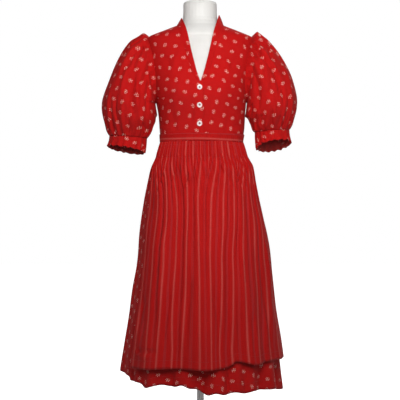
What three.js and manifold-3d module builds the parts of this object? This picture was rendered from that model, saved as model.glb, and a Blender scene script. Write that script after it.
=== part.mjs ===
// A dirndl dress with its apron, worn by a limbless dress form on a pole stand.
// Millimetres, +Z up, the dress faces -Y, and the origin is the middle of the base's underside.
// Angles run round the body from the front: 0 is centre front, 90 the +X side, 180 centre back.
import * as THREE from 'three';
import { mergeVertices } from 'three/addons/utils/BufferGeometryUtils.js';
import Module from 'manifold-3d';

const wasm = await Module();
wasm.setup();

const CLOTH = 1.8;
const SEAM_GAP = 0.35;
const FORM_CLEARANCE = 3.8;
const SHOULDER_CLEARANCE = 1.9;
const ARM_PLATE_CLEARANCE = 5;

// Heights of the dress above the floor.
const SHOULDER_END = 1355;
const NECK_SIDE = 1394;
const BACK_NECK = 1380;
const UNDERARM = 1145;
const WAIST = 1020;
const BAND_TOP = 1035;
const BAND_BOTTOM = 1009;
const SMOCK_BOTTOM = 955;

// Outer face of the fitted dress: half width, depth in front of and behind the pole,
// sideways shift of the middle, and the roundness of the section (1 is an ellipse).
const BODY = table(['z', 'width', 'front', 'back', 'shift', 'round'], [
  [1394, 76, 66, 74, 0, 0.97],
  [1386, 97, 73, 80, 0, 0.96],
  [1378, 116, 79, 85, 0, 0.95],
  [1370, 135, 84, 89, 0, 0.94],
  [1362, 155, 88, 92, 0, 0.93],
  [1355, 171, 91, 95, 0, 0.92],
  [1343, 175.5, 96, 99, 0, 0.9],
  [1325, 174, 102, 103, 0, 0.9],
  [1300, 171, 108, 107, 0, 0.9],
  [1250, 165, 119, 111, 0, 0.9],
  [1201, 156, 128, 110, 0, 0.9],
  [1165, 151, 130, 107, 1, 0.9],
  [1145, 149, 128, 104, 2, 0.9],
  [1110, 144, 120, 100, 4, 0.91],
  [1080, 141.5, 112, 96, 5, 0.92],
  [1050, 139.5, 106, 93, 5, 0.93],
  [1020, 135.5, 101, 92, 4, 0.94],
  [1005, 135.5, 102, 94, 3, 0.95],
  [985, 138, 106, 98, 3, 0.96],
  [965, 142, 111, 104, 3, 0.97],
  [952, 147, 115, 109, 4, 0.98],
  [926, 158, 123, 120, 4, 0.99],
  [873, 170, 136, 136, 2, 1],
  [820, 181, 148, 150, 1, 1],
  [714, 202, 169, 172, 6, 1],
  [609, 214, 186, 190, 7, 1],
  [503, 226, 200, 204, 4, 1],
  [397, 242, 213, 217, 3, 1],
  [292, 256, 224, 227, 3, 1],
  [210, 265, 231, 233, 3, 1],
]);

// Bust shaping of a general figure, put in by the darts of the front.
const BUST = { height: 1180, side: 80, fullness: 9, spreadX: 48, spreadZ: 52 };

// Rows of the bodice: height at its side edge, and how much of the shoulder's rise is left.
const BODICE_ROWS = table(['side', 'rise'], [
  [1355, 1],
  [1354.3, 0.975],
  [1352, 0.9],
  [1345, 0.76],
  [1330, 0.6],
  [1305, 0.4],
  [1280, 0.24],
  [1250, 0.1],
  [1225, 0],
  [1201, 0],
  [1197, 0],
  [1165, 0],
  [1145, 0],
  [1110, 0],
  [1080, 0],
  [1050, 0],
  [WAIST + SEAM_GAP / 2, 0],
]);
const FRONT_SHARES = [0, 0.12, 0.26, 0.41, 0.56, 0.71, 0.84, 0.925, 1];
const BACK_COLUMNS = [1, 0.85, 0.7, 0.56, 0.4442, 0.41, 0.36, 0.27, 0.14];
const ARMHOLE_FRONT = 26;
const ARMHOLE_BACK = 23;

// Seam of the neckband on the front: distance from the middle at each height.
const NECK_SEAM = table(['z', 'x'], [
  [1197, -12],
  [1201, 15],
  [1225, 24],
  [1254, 33],
  [1290, 43],
  [1321, 51],
  [1353, 58.5],
  [1375, 65.5],
  [1387, 71.5],
  [1394, 76],
]);
const BUTTON_LAP = 2.8;

// Free edge of the neckband from the foot of the V over its point to centre back.
const NECK_EDGE = table(['x', 'y', 'z', 'point'], [
  [1.6, -130.2, 1202, 0],
  [10.5, -127.3, 1227, 0],
  [18.5, -122.2, 1257, 0],
  [27.5, -113.6, 1293, 0],
  [34, -104.6, 1324, 0],
  [40.5, -91.5, 1354, 0],
  [46.5, -75, 1377, 0.1],
  [53, -52, 1396, 0.4],
  [58.5, -24, 1412, 0.9],
  [61, 3, 1421, 1],
  [61, 22, 1419, 0.9],
  [57, 40, 1416, 0.7],
  [43, 60, 1412, 0.4],
  [23, 70, 1408, 0.2],
  [0.2, 73, 1407, 0],
]);

// Puff sleeves: outer and inner line of the sleeve, its depth before and behind, and the height
// of its gathers, from the cap to the cuff seam. Right and left are the wearer's.
const SLEEVE_COLUMNS = ['outX', 'outZ', 'inX', 'inZ', 'front', 'back', 'gather'];
// A cuff also has the height of its frill's waves and how much its front edge tips up.
const CUFF_COLUMNS = ['outX', 'outZ', 'inX', 'inZ', 'front', 'back', 'wave', 'tip'];
const SLEEVES = {
  right: {
    sign: -1,
    rows: table(SLEEVE_COLUMNS, [
      [186, 1363, 149, 1138, 72, 72, 5],
      [202, 1352, 148, 1124, 88, 86, 7],
      [232, 1333, 147, 1110, 100, 97, 6.5],
      [266, 1283, 147, 1097, 106, 102, 5.5],
      [296, 1220, 149, 1084, 106, 101, 4.5],
      [316, 1155, 152, 1071, 100, 95, 4.5],
      [317, 1105, 157, 1058, 88, 84, 5],
      [308, 1064, 165, 1044, 72, 69, 5],
      [298, 1032, 177, 1023, 56, 55, 3],
    ]),
    cuff: table(CUFF_COLUMNS, [
      [297.5, 1031, 177.5, 1022, 55.5, 54.5, 0.6, 0],
      [298.5, 1020, 178.5, 1008, 55, 54, 1.6, 1],
      [301, 1007, 181, 990, 56, 55, 2.6, 3],
      [304.5, 995, 184.5, 974, 58, 57, 4, 5],
    ]),
  },
  left: {
    sign: 1,
    rows: table(SLEEVE_COLUMNS, [
      [186, 1367, 154, 1140, 72, 72, 5],
      [201, 1355, 153.5, 1128, 88, 86, 7],
      [226, 1332, 153, 1116, 100, 97, 6.5],
      [265, 1284, 153, 1105, 106, 102, 5.5],
      [297, 1226, 155, 1094, 106, 101, 4.5],
      [313, 1165, 160, 1083, 100, 95, 4.5],
      [312, 1118, 166, 1072, 88, 84, 5],
      [301, 1080, 172, 1058, 72, 69, 5],
      [291, 1052, 179, 1043, 55, 54, 3],
    ]),
    cuff: table(CUFF_COLUMNS, [
      [290.5, 1051, 179.5, 1042, 54.5, 53.5, 0.6, 0],
      [291.5, 1038, 180.5, 1027, 54, 53, 1.6, 3],
      [294, 1022, 182.5, 1008, 55, 54, 2.6, 8],
      [297, 1006, 185, 990, 57, 56, 4, 13],
    ]),
  },
};
const SLEEVE_GATHERS = 18;
const CUFF_WAVES = 16;
const SLEEVE_FORWARD = 12;

// Folds of the skirt at its hem: where each ridge stands, its height and its half width.
const SKIRT_FOLDS = table(['angle', 'height', 'spread'], [
  [-84, 15, 8],
  [-66, 10, 8],
  [-49, 18, 6],
  [-36, 24, 7],
  [-11, 16, 7],
  [11, 28, 8],
  [25, 20, 5],
  [36, 20, 6],
  [56, 22, 9],
  [83, 11, 9],
  [107, 16, 9],
  [130, 24, 10],
  [152, 20, 8],
  [173, 24, 9],
  [196, 22, 9],
  [217, 26, 9],
  [239, 20, 9],
  [257, 18, 8],
]);
const SKIRT_COLUMNS = 72;
const SKIRT_ROWS = [WAIST - SEAM_GAP / 2, 1009, 985, 945, 880, 780, 640, 460];

// Height of the skirt's hem round the body.
const HEM = table(['angle', 'z'], [
  [-95, 258],
  [-75, 253],
  [-60, 249],
  [-48, 246],
  [-37, 237],
  [-27, 246],
  [-17, 249],
  [-8, 244],
  [3, 227],
  [14, 225],
  [28, 226],
  [38, 224],
  [46, 228],
  [56, 221],
  [68, 212],
  [82, 207],
  [95, 210],
  [125, 222],
  [155, 231],
  [185, 234],
  [215, 237],
  [242, 247],
  [265, 258],
]);

// Lobes of the apron at its hem, in the same columns.
const APRON_FOLDS = table(['angle', 'height', 'spread'], [
  [-55, 10, 9],
  [-36, 26, 13],
  [3, 30, 13],
  [37, 24, 10],
  [66, 16, 13],
  [88, 9, 9],
]);
const APRON_HEM = table(['angle', 'z'], [
  [-62, 289],
  [-40, 291],
  [-16, 300],
  [3, 297],
  [18, 306],
  [24, 320],
  [38, 305],
  [50, 310],
  [94, 303],
]);
const APRON_COLUMNS = 54;
const APRON_ROWS = [0, 0.06, 0.14, 0.26, 0.42, 0.6, 0.8, 1];
const APRON_CLEARANCE = 6.2;
const SMOCK_PLEATS = 52;
const APRON_START = -76;
const APRON_START_AT_HEM = -62;
const APRON_END = 93;

// Dress form below the waist, and its neck.
const FORM_HIPS = table(['z', 'width', 'front', 'back', 'shift', 'round'], [
  [1000, 132, 99, 91, 3, 0.95],
  [960, 138, 104, 99, 3, 0.95],
  [915, 147, 110, 110, 3, 0.96],
  [870, 152, 113, 115, 2, 0.96],
  [820, 152, 112, 114, 2, 0.96],
  [800, 149, 110, 112, 2, 0.96],
]);
const FORM_NECK = table(['z', 'width', 'front', 'back', 'shift', 'round'], [
  [1461, 55.5, 52, 58, -1, 1],
  [1440, 55.5, 52, 58, -1, 1],
  [1418, 56.5, 53, 59, -1, 1],
  [1406, 60, 56, 62, 0, 1],
]);
const FORM_SIDES = 30;
const CAP_TOP = 1472;
const POLE_RADIUS = 12;
const BASE_RADIUS = 175;
const BASE_HEIGHT = 14;

const BUTTON = { radius: 8.5, thickness: 3, heights: [1177.5, 1122.5, 1064.5], x: -2.5 };

const floral = material(0xb92321, 0.85);
const stripe = material(0xa81c1c, 0.85);
const pearl = material(0xeee4da, 0.3);
const white = material(0xe8e7e4, 0.55);

function material(color, roughness) {
  return new THREE.MeshStandardMaterial({ color, roughness, metalness: 0 });
}

function table(names, rows) {
  return rows.map((row) => Object.fromEntries(names.map((name, k) => [name, row[k]])));
}

function mix(a, b, t) {
  return a + (b - a) * t;
}

function ease(t) {
  const s = Math.min(1, Math.max(0, t));
  return s * s * (3 - 2 * s);
}

function radians(degrees) {
  return degrees * Math.PI / 180;
}

// Value of one column of a table at a key, on a smooth curve through the rows.
function read(rows, keyName, key, name) {
  const rising = rows[rows.length - 1][keyName] > rows[0][keyName];
  const inside = (row) => (rising ? row[keyName] >= key : row[keyName] <= key);
  let k = rows.findIndex(inside);
  k = k < 0 ? rows.length - 1 : Math.max(1, k);
  const a = rows[k - 1];
  const b = rows[k];
  const before = rows[Math.max(0, k - 2)];
  const after = rows[Math.min(rows.length - 1, k + 1)];
  const span = b[keyName] - a[keyName];
  const t = Math.min(1, Math.max(0, (key - a[keyName]) / span));
  const slopeA = (b[name] - before[name]) / (b[keyName] - before[keyName]) * span;
  const slopeB = (after[name] - a[name]) / (after[keyName] - a[keyName]) * span;
  const t2 = t * t;
  const t3 = t2 * t;
  return (2 * t3 - 3 * t2 + 1) * a[name] + (t3 - 2 * t2 + t) * slopeA
    + (3 * t2 - 2 * t3) * b[name] + (t3 - t2) * slopeB;
}

function power(value, exponent) {
  return Math.sign(value) * Math.abs(value) ** exponent;
}

// Point of a section table at an angle and height.
function sectionPoint(rows, angle, z) {
  const round = read(rows, 'z', z, 'round');
  const sine = Math.sin(radians(angle));
  const cosine = Math.cos(radians(angle));
  const depth = read(rows, 'z', z, cosine > 0 ? 'front' : 'back');
  const x = read(rows, 'z', z, 'shift') + read(rows, 'z', z, 'width') * power(sine, round);
  return new THREE.Vector3(x, -depth * power(cosine, round), z);
}

function bodySurface(angle, z) {
  const point = sectionPoint(BODY, angle, z);
  if (point.y < 0) {
    const across = (Math.abs(point.x) - BUST.side) / BUST.spreadX;
    const along = (z - BUST.height) / BUST.spreadZ;
    point.y -= BUST.fullness * Math.exp(-across * across - along * along);
  }
  return point;
}

// The point moved outwards along the surface's own normal.
function offsetPoint(surface, angle, z, distance) {
  const dz = 1.5;
  const across = surface(angle + 0.4, z).sub(surface(angle - 0.4, z));
  const down = surface(angle, z - dz).sub(surface(angle, z + dz));
  return surface(angle, z).addScaledVector(down.cross(across).normalize(), distance);
}

// Angle on the body at a distance x from the middle, in front or behind.
function angleAt(x, z, behind) {
  const width = read(BODY, 'z', z, 'width');
  const share = (x - read(BODY, 'z', z, 'shift')) / width;
  const sine = Math.min(1, Math.abs(share) ** (1 / read(BODY, 'z', z, 'round')));
  const angle = Math.sign(share) * Math.asin(sine) * 180 / Math.PI;
  return behind ? 180 - angle : angle;
}

// Height of the shoulder's ridge, and of the back neck, at a distance from the middle.
function shoulderHeight(x) {
  let low = SHOULDER_END;
  let high = NECK_SIDE;
  for (let step = 0; step < 24; step += 1) {
    const middle = (low + high) / 2;
    if (read(BODY, 'z', middle, 'width') > x) {
      low = middle;
    } else {
      high = middle;
    }
  }
  return low;
}

const SHOULDER_X = read(BODY, 'z', SHOULDER_END, 'width');
const NECK_X = read(BODY, 'z', NECK_SIDE, 'width');

function backTop(x) {
  if (x > NECK_X) {
    return shoulderHeight(x);
  }
  return BACK_NECK + (NECK_SIDE - BACK_NECK) * (x / NECK_X) ** 3;
}

// Distance of the armhole's edge from the side, in degrees round the body.
function armholeReach(z, behind) {
  const share = (z - UNDERARM) / (SHOULDER_END - UNDERARM);
  if (share <= 0 || share >= 1) {
    return 0.12;
  }
  const reach = behind ? ARMHOLE_BACK : ARMHOLE_FRONT;
  return 0.12 + reach * (4 * share * (1 - share)) ** 0.55;
}

function armholePoint(sign, z, behind) {
  const angle = 90 - armholeReach(z, behind);
  return offsetPoint(bodySurface, sign * (behind ? 180 - angle : angle), z, -CLOTH / 2);
}

// One closed cloth wall through a grid of points in the middle of the cloth.
function wall(rows, columns, closed, outer, inner) {
  const points = [];
  for (const side of [outer, inner]) {
    for (let i = 0; i < rows; i += 1) {
      for (let j = 0; j < columns; j += 1) {
        points.push(side(i, j));
      }
    }
  }
  const half = rows * columns;
  const index = [];
  const at = (i, j, side) => side * half + i * columns + (j % columns);
  const quad = (a, b, c, d) => index.push(a, b, c, a, c, d);
  const spans = closed ? columns : columns - 1;
  for (let j = 0; j < spans; j += 1) {
    for (let i = 0; i < rows - 1; i += 1) {
      quad(at(i, j, 0), at(i + 1, j, 0), at(i + 1, j + 1, 0), at(i, j + 1, 0));
      quad(at(i, j, 1), at(i, j + 1, 1), at(i + 1, j + 1, 1), at(i + 1, j, 1));
    }
    quad(at(0, j, 0), at(0, j + 1, 0), at(0, j + 1, 1), at(0, j, 1));
    const last = rows - 1;
    quad(at(last, j + 1, 0), at(last, j, 0), at(last, j, 1), at(last, j + 1, 1));
  }
  if (!closed) {
    const end = columns - 1;
    for (let i = 0; i < rows - 1; i += 1) {
      quad(at(i + 1, 0, 0), at(i, 0, 0), at(i, 0, 1), at(i + 1, 0, 1));
      quad(at(i, end, 0), at(i + 1, end, 0), at(i + 1, end, 1), at(i, end, 1));
    }
  }
  return solid(points, index);
}

// Geometry with its faces pointing out.
function solid(points, index) {
  let volume = 0;
  for (let k = 0; k < index.length; k += 3) {
    const [a, b, c] = [points[index[k]], points[index[k + 1]], points[index[k + 2]]];
    volume += a.dot(b.clone().cross(c));
  }
  if (volume < 0) {
    for (let k = 0; k < index.length; k += 3) {
      [index[k], index[k + 1]] = [index[k + 1], index[k]];
    }
  }
  const geometry = new THREE.BufferGeometry();
  const corners = points.flatMap((point) => [point.x, point.y, point.z]);
  geometry.setAttribute('position', new THREE.Float32BufferAttribute(corners, 3));
  geometry.setIndex(index);
  geometry.computeVertexNormals();
  return geometry;
}

// Cloth through a free grid of points, its thickness put on along the grid's own normals.
function gridWall(rows, columns, closed, middle, relief = () => 0) {
  const grid = [];
  for (let i = 0; i < rows; i += 1) {
    grid.push([]);
    for (let j = 0; j < columns; j += 1) {
      grid[i].push(middle(i, j));
    }
  }
  const column = (j) => (closed ? (j + columns) % columns : Math.min(columns - 1, Math.max(0, j)));
  const normal = (i, j) => {
    const below = grid[Math.min(rows - 1, i + 1)][column(j)];
    const down = below.clone().sub(grid[Math.max(0, i - 1)][column(j)]);
    const across = grid[i][column(j + 1)].clone().sub(grid[i][column(j - 1)]);
    return down.cross(across).normalize();
  };
  const skin = (side) => (i, j) => {
    const lift = side * CLOTH / 2 + (side > 0 ? relief(i, j) : 0);
    return grid[i][j].clone().addScaledVector(normal(i, j), lift);
  };
  return wall(rows, columns, closed, skin(1), skin(-1));
}

// Bodice front: a grid from its side edge to the neckline and the buttoned edge.
function frontPoint(sign, i, j, offset, lapped) {
  const row = BODICE_ROWS[i];
  const share = FRONT_SHARES[j];
  const sideAngle = sign * (90 - armholeReach(row.side, false));
  const side = bodySurface(sideAngle, row.side);
  const edgeZ = row.side + (NECK_SIDE - SHOULDER_END) * row.rise;
  const edge = sign * (row.side < 1199 ? NECK_SEAM[0].x : read(NECK_SEAM, 'z', edgeZ, 'x'));
  const top = mix(SHOULDER_X, NECK_X, share);
  const z = row.side + (shoulderHeight(top) - SHOULDER_END) * row.rise;
  const straight = mix(side.x, edge, share);
  const round = bodySurface(mix(sideAngle, angleAt(edge, row.side, false), share), row.side).x;
  const x = mix(round, straight, ease(row.rise / 0.3));
  const angle = share === 0 ? sideAngle : angleAt(x, z, false);
  const limit = sign * angle > 89.88 ? sign * 89.88 : angle;
  return offsetPoint(bodySurface, limit, z, offset + (lapped ? lapLift(x, z) : 0));
}

// How far the buttoned front stands out where it laps over the other one.
function lapLift(x, z) {
  return BUTTON_LAP * ease((35 + x) / 20) * (1 - ease((z - 1203) / 22));
}

function bodiceFront(sign, lapped) {
  const rows = BODICE_ROWS.length;
  const point = (offset) => (i, j) => frontPoint(sign, i, j, offset, lapped);
  return wall(rows, FRONT_SHARES.length, false, point(0), point(-CLOTH));
}

const BACK_SHARES = [...BACK_COLUMNS, 0, ...BACK_COLUMNS.slice().reverse().map((share) => -share)];

function backPoint(i, j, offset) {
  const row = BODICE_ROWS[i];
  const share = BACK_SHARES[j];
  const sign = share < 0 ? -1 : 1;
  const sideAngle = 90 + armholeReach(row.side, true);
  const z = row.side + (backTop(Math.abs(share) * SHOULDER_X) - SHOULDER_END) * row.rise;
  const side = bodySurface(sign * sideAngle, row.side).x;
  const shift = read(BODY, 'z', row.side, 'shift');
  const straight = shift + (side - shift) * Math.abs(share);
  const even = Math.abs(j - BACK_COLUMNS.length) / BACK_COLUMNS.length;
  const round = bodySurface(180 - sign * (180 - sideAngle) * even, row.side).x;
  const x = mix(round, straight, ease(row.rise / 0.3));
  const angle = Math.abs(share) === 1 ? sign * sideAngle : angleAt(x, z, true);
  const wrapped = ((angle % 360) + 360) % 360;
  const limit = Math.min(269.88, Math.max(90.12, wrapped));
  return offsetPoint(bodySurface, limit, z, offset);
}

function bodiceBack() {
  const point = (offset) => (i, j) => backPoint(i, j, offset);
  return wall(BODICE_ROWS.length, BACK_SHARES.length, false, point(0), point(-CLOTH));
}

// Neckband: its seam follows the front's neckline and then the back's.
function neckSeam(sign) {
  const points = [];
  for (let i = 9; i >= 0; i -= 1) {
    points.push(frontPoint(sign, i, FRONT_SHARES.length - 1, -CLOTH / 2, sign < 0));
  }
  const columns = BACK_SHARES.length;
  for (let k = 5; k < 10; k += 1) {
    points.push(backPoint(0, sign > 0 ? k : columns - 1 - k, -CLOTH / 2));
  }
  return points;
}

function neckband(sign, pointRise) {
  const seam = neckSeam(sign);
  const across = 4;
  const middle = (i, j) => {
    const row = NECK_EDGE[i];
    const lap = sign < 0 ? lapLift(-row.x, row.z) : 0;
    const edge = new THREE.Vector3(sign * row.x, row.y - lap, row.z + pointRise * row.point);
    const start = seam[i].clone();
    const away = edge.clone().sub(start);
    start.addScaledVector(away.clone().normalize(), i > 5 ? 1.5 : 0.6);
    if (i === NECK_EDGE.length - 1) {
      start.x = sign * 0.2;
    }
    const share = j / (across - 1);
    const point = start.lerp(edge, share);
    point.z += 1.5 * Math.sin(Math.PI * share) * (i > 6 ? 1 : 0);
    return point;
  };
  return gridWall(NECK_EDGE.length, across, false, middle);
}

// Sleeve: the armhole's curve first, then rings that turn from the shoulder to the cuff.
function ringPoint(row, sign, turn, push) {
  const out = new THREE.Vector3(sign * row.outX, 0, row.outZ);
  const inn = new THREE.Vector3(sign * row.inX, 0, row.inZ);
  const centre = out.clone().add(inn).multiplyScalar(0.5);
  const reach = out.distanceTo(inn) / 2;
  const axis = out.sub(inn).normalize();
  const depth = Math.sin(turn) > 0 ? row.front : row.back;
  const forward = SLEEVE_FORWARD * ease((1300 - centre.z) / 250);
  const point = centre.addScaledVector(axis, (reach + push) * Math.cos(turn));
  point.y = -forward - (depth + push) * Math.sin(turn);
  return point;
}

function armholeRing(sign, turn) {
  const middle = (SHOULDER_END + UNDERARM) / 2;
  const half = (SHOULDER_END - UNDERARM) / 2 - 0.4;
  const point = armholePoint(sign, middle + half * Math.cos(turn), Math.sin(turn) < 0);
  point.x += sign * 2.2;
  return point;
}

function sleeve(side) {
  const columns = SLEEVE_GATHERS * 2;
  const middle = (i, j) => {
    const turn = 2 * Math.PI * j / columns;
    if (i === 0) {
      return armholeRing(side.sign, turn);
    }
    const row = side.rows[i - 1];
    const pinch = j % 2 === 0 ? 1 : -1;
    const capped = i < 5 ? 0.35 + 0.65 * ease((1 + Math.cos(turn)) / 1.6) : 1;
    return ringPoint(row, side.sign, turn, pinch * row.gather * capped / 2);
  };
  return gridWall(side.rows.length + 1, columns, true, middle);
}

function cuff(side) {
  const columns = CUFF_WAVES * 2;
  const middle = (i, j) => {
    const row = side.cuff[i];
    const turn = 2 * Math.PI * j / columns;
    const point = ringPoint(row, side.sign, turn, row.wave * Math.cos(CUFF_WAVES * turn));
    point.z += row.tip * Math.sin(turn);
    return point;
  };
  return gridWall(side.cuff.length, columns, true, middle);
}

// Height of folds at an angle: soft ridges of a table, added up.
function foldHeight(folds, angle) {
  const wrapped = ((angle + 95) % 360 + 360) % 360 - 95;
  let height = 0;
  for (const fold of folds) {
    for (const lap of [-360, 0, 360]) {
      const away = (wrapped - fold.angle - lap) / fold.spread;
      height += fold.height * Math.exp(-away * away);
    }
  }
  return height;
}

function hemHeight(angle) {
  return read(HEM, 'angle', ((angle + 95) % 360 + 360) % 360 - 95, 'z');
}

function skirtLift(angle, z) {
  const drop = Math.min(1, Math.max(0, (WAIST - 60 - z) / 740));
  return (foldHeight(SKIRT_FOLDS, angle) - 8) * drop ** 0.8;
}

// Small gathers where the skirt and the apron are sewn to their bands.
function gatherLift(j, z, top, depth, reach) {
  const below = (top - z) / reach;
  const strength = below <= 0 ? 0 : Math.min(1, below * 4) * (1 - ease(below - 0.25));
  return (j % 2 === 0 ? depth : 0) * strength;
}

function skirt() {
  const rows = SKIRT_ROWS.length + 1;
  const middle = (i, j) => {
    const angle = 360 * j / SKIRT_COLUMNS;
    const z = i < SKIRT_ROWS.length ? SKIRT_ROWS[i] : hemHeight(angle);
    const lift = skirtLift(angle, z) + gatherLift(j, z, WAIST - 11, 2.4, 160);
    return offsetPoint(bodySurface, angle, z, lift - CLOTH / 2);
  };
  return gridWall(rows, SKIRT_COLUMNS, true, middle);
}

// Outer reach of the skirt, which the apron lies on.
function apronLift(angle, z) {
  const drop = Math.min(1, Math.max(0, (900 - z) / 600));
  const own = foldHeight(APRON_FOLDS, angle) * drop ** 0.9;
  const skirtReach = Math.max(skirtLift(angle - 3, z), skirtLift(angle, z), skirtLift(angle + 3, z));
  return Math.max(own, skirtReach) + APRON_CLEARANCE;
}

function smockLift(z) {
  return mix(1.9, APRON_CLEARANCE, ease((BAND_BOTTOM - z) / 40));
}

function apronSkirt() {
  const middle = (i, j) => {
    const share = j / (APRON_COLUMNS - 1);
    const fall = APRON_ROWS[i];
    const start = mix(APRON_START, APRON_START_AT_HEM, ease(fall * 4));
    const angle = mix(start, APRON_END, share);
    const top = SMOCK_BOTTOM - SEAM_GAP / 2;
    const z = mix(top, read(APRON_HEM, 'angle', angle, 'z'), fall);
    const gather = (j % 2 === 0 ? 4 : 0) * (1 - ease(fall * 2.2)) * (i === 0 ? 0.4 : 1);
    return offsetPoint(bodySurface, angle, z, apronLift(angle, z) + gather);
  };
  return gridWall(APRON_ROWS.length, APRON_COLUMNS, false, middle);
}

// Smocked band: pleats raised on its outer face, plain inside.
function smockedBand() {
  const heights = [BAND_BOTTOM - SEAM_GAP, 995, SMOCK_BOTTOM + SEAM_GAP / 2];
  const columns = SMOCK_PLEATS * 2 + 1;
  const angle = (j) => mix(APRON_START, APRON_END, j / (columns - 1));
  const point = (face, relief) => (i, j) => {
    const ridge = j % 2 === 1 ? relief * (i === 0 ? 0.4 : 1) : 0;
    return offsetPoint(bodySurface, angle(j), heights[i], smockLift(heights[i]) + face + ridge);
  };
  return wall(heights.length, columns, false, point(CLOTH / 2, 1.7), point(-CLOTH / 2, 0));
}

// A band that lies round the waist, from one angle to another.
function waistStrip(startAngle, endAngle, top, bottom, columns) {
  const heights = [top, (top + bottom) / 2, bottom];
  const point = (face) => (i, j) => {
    const angle = mix(startAngle, endAngle, j / (columns - 1));
    const overLap = BUTTON_LAP * ease((26 - Math.abs(angle)) / 9);
    return offsetPoint(bodySurface, angle, heights[i], 0.9 + overLap + face);
  };
  return wall(heights.length, columns, false, point(CLOTH), point(0));
}

// A flat ribbon along a path of stations: place, height and half width, folded flat.
function ribbon(stations) {
  const across = 3;
  const middle = (i, j) => {
    const station = stations[i];
    const share = (j / (across - 1)) * 2 - 1;
    return new THREE.Vector3(station.x, station.y, station.z + station.half * share);
  };
  return gridWall(stations.length, across, false, middle);
}

const RIBBON = ['x', 'y', 'z', 'half'];
const BOW = { x: 4, y: 103.9, sides: 12 };

function bowLoop(sign) {
  return ribbon(table(RIBBON, [
    [9.8, 103, 1022, 7],
    [30, 108, 1023, 13],
    [58, 113, 1021, 17],
    [80, 118, 1017, 17],
    [89, 123, 1013, 16],
    [80, 129, 1010, 17],
    [56, 127, 1013, 17],
    [30, 121, 1018, 13],
    [9.6, 107.5, 1021, 7],
  ]).map((row) => ({ ...row, x: BOW.x + sign * row.x })));
}

// A hanging end of the tie, which lies against the back of the skirt.
function bowTail(sign) {
  const rows = table(['out', 'z', 'half', 'off'], [
    [8, 1006.9, 6, 11],
    [13, 985, 11, 11],
    [18, 940, 13, 9],
    [24, 880, 13, 7],
    [30, 815, 13, 7],
    [35, 745, 13, 7],
  ]);
  const middle = (i, j) => {
    const row = rows[i];
    const x = BOW.x + sign * row.out + (j - 1) * row.half;
    const angle = angleAt(x, row.z, true);
    const reach = Math.max(skirtLift(angle - 4, row.z), skirtLift(angle + 4, row.z), 0);
    return offsetPoint(bodySurface, angle, row.z, reach + row.off);
  };
  return gridWall(rows.length, 3, false, middle);
}

// Surface of revolution along +Z through radius and height pairs that start and end on the axis.
function turned(profile, sides) {
  const points = profile.map(([radius, height]) => new THREE.Vector2(radius, height));
  const geometry = new THREE.LatheGeometry(points, sides);
  geometry.rotateX(Math.PI / 2);
  geometry.deleteAttribute('normal');
  geometry.deleteAttribute('uv');
  const merged = mergeVertices(geometry, 1e-3);
  const position = merged.getAttribute('position');
  const corners = [];
  for (let k = 0; k < position.count; k += 1) {
    corners.push(new THREE.Vector3().fromBufferAttribute(position, k));
  }
  const index = [];
  const source = merged.getIndex().array;
  for (let k = 0; k < source.length; k += 3) {
    const [a, b, c] = [source[k], source[k + 1], source[k + 2]];
    if (a !== b && b !== c && a !== c) {
      index.push(a, b, c);
    }
  }
  return solid(corners, index);
}

function toManifold(geometry) {
  return new wasm.Manifold(new wasm.Mesh({
    numProp: 3,
    vertProperties: new Float32Array(geometry.getAttribute('position').array),
    triVerts: new Uint32Array(geometry.getIndex().array),
  }));
}

function fromManifold(shape) {
  const result = shape.getMesh();
  const corners = [];
  for (let k = 0; k < result.vertProperties.length; k += result.numProp) {
    corners.push(new THREE.Vector3(...result.vertProperties.slice(k, k + 3)));
  }
  return solid(corners, Array.from(result.triVerts));
}

// Shirt-type button with a raised rim and four holes.
function buttonShape() {
  const { radius, thickness } = BUTTON;
  const disc = turned([
    [0, 0], [radius - 1.5, 0], [radius, 1], [radius - 0.4, thickness - 0.3],
    [radius - 1.6, thickness], [radius - 3, thickness - 0.9], [0, thickness - 1.1],
  ], 20);
  let shape = toManifold(disc);
  for (const [x, y] of [[1.6, 1.6], [-1.6, 1.6], [1.6, -1.6], [-1.6, -1.6]]) {
    const hole = turned([[0, -1], [0.8, -1], [0.8, thickness + 1], [0, thickness + 1]], 6);
    hole.translate(x, y, 0);
    shape = shape.subtract(toManifold(hole));
  }
  return fromManifold(shape);
}

// Closed stack of section rings, capped flat at both ends.
function ringStack(rings, sides) {
  const points = [];
  for (const ring of rings) {
    for (let j = 0; j < sides; j += 1) {
      points.push(ring(360 * j / sides));
    }
  }
  const index = [];
  for (let i = 0; i < rings.length - 1; i += 1) {
    for (let j = 0; j < sides; j += 1) {
      const next = (j + 1) % sides;
      const [a, b] = [i * sides + j, i * sides + next];
      index.push(a, a + sides, b + sides, a, b + sides, b);
    }
  }
  const last = (rings.length - 1) * sides;
  for (let j = 1; j < sides - 1; j += 1) {
    index.push(0, j, j + 1, last, last + j + 1, last + j);
  }
  return solid(points, index);
}

// Knot of the bow: a small crowned pillow of wound cloth.
function bowKnot() {
  const rings = table(['z', 'halfX', 'halfY'], [
    [1034, 6, 6],
    [1031, 8.6, 8.2],
    [1022, 9.3, 8.8],
    [1013, 8.6, 8.2],
    [1009.2, 6.5, 6.2],
  ]).map((row) => (angle) => {
    const x = BOW.x + row.halfX * Math.sin(radians(angle));
    return new THREE.Vector3(x, BOW.y - row.halfY * Math.cos(radians(angle)), row.z);
  });
  return ringStack(rings, BOW.sides);
}

// The cloth rests on the form's shoulders and stands off a little everywhere else.
function formClearance(z) {
  if (z > SHOULDER_END + 2) {
    return SHOULDER_CLEARANCE;
  }
  return z > SHOULDER_END - 20 ? ARM_PLATE_CLEARANCE : FORM_CLEARANCE;
}

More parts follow.
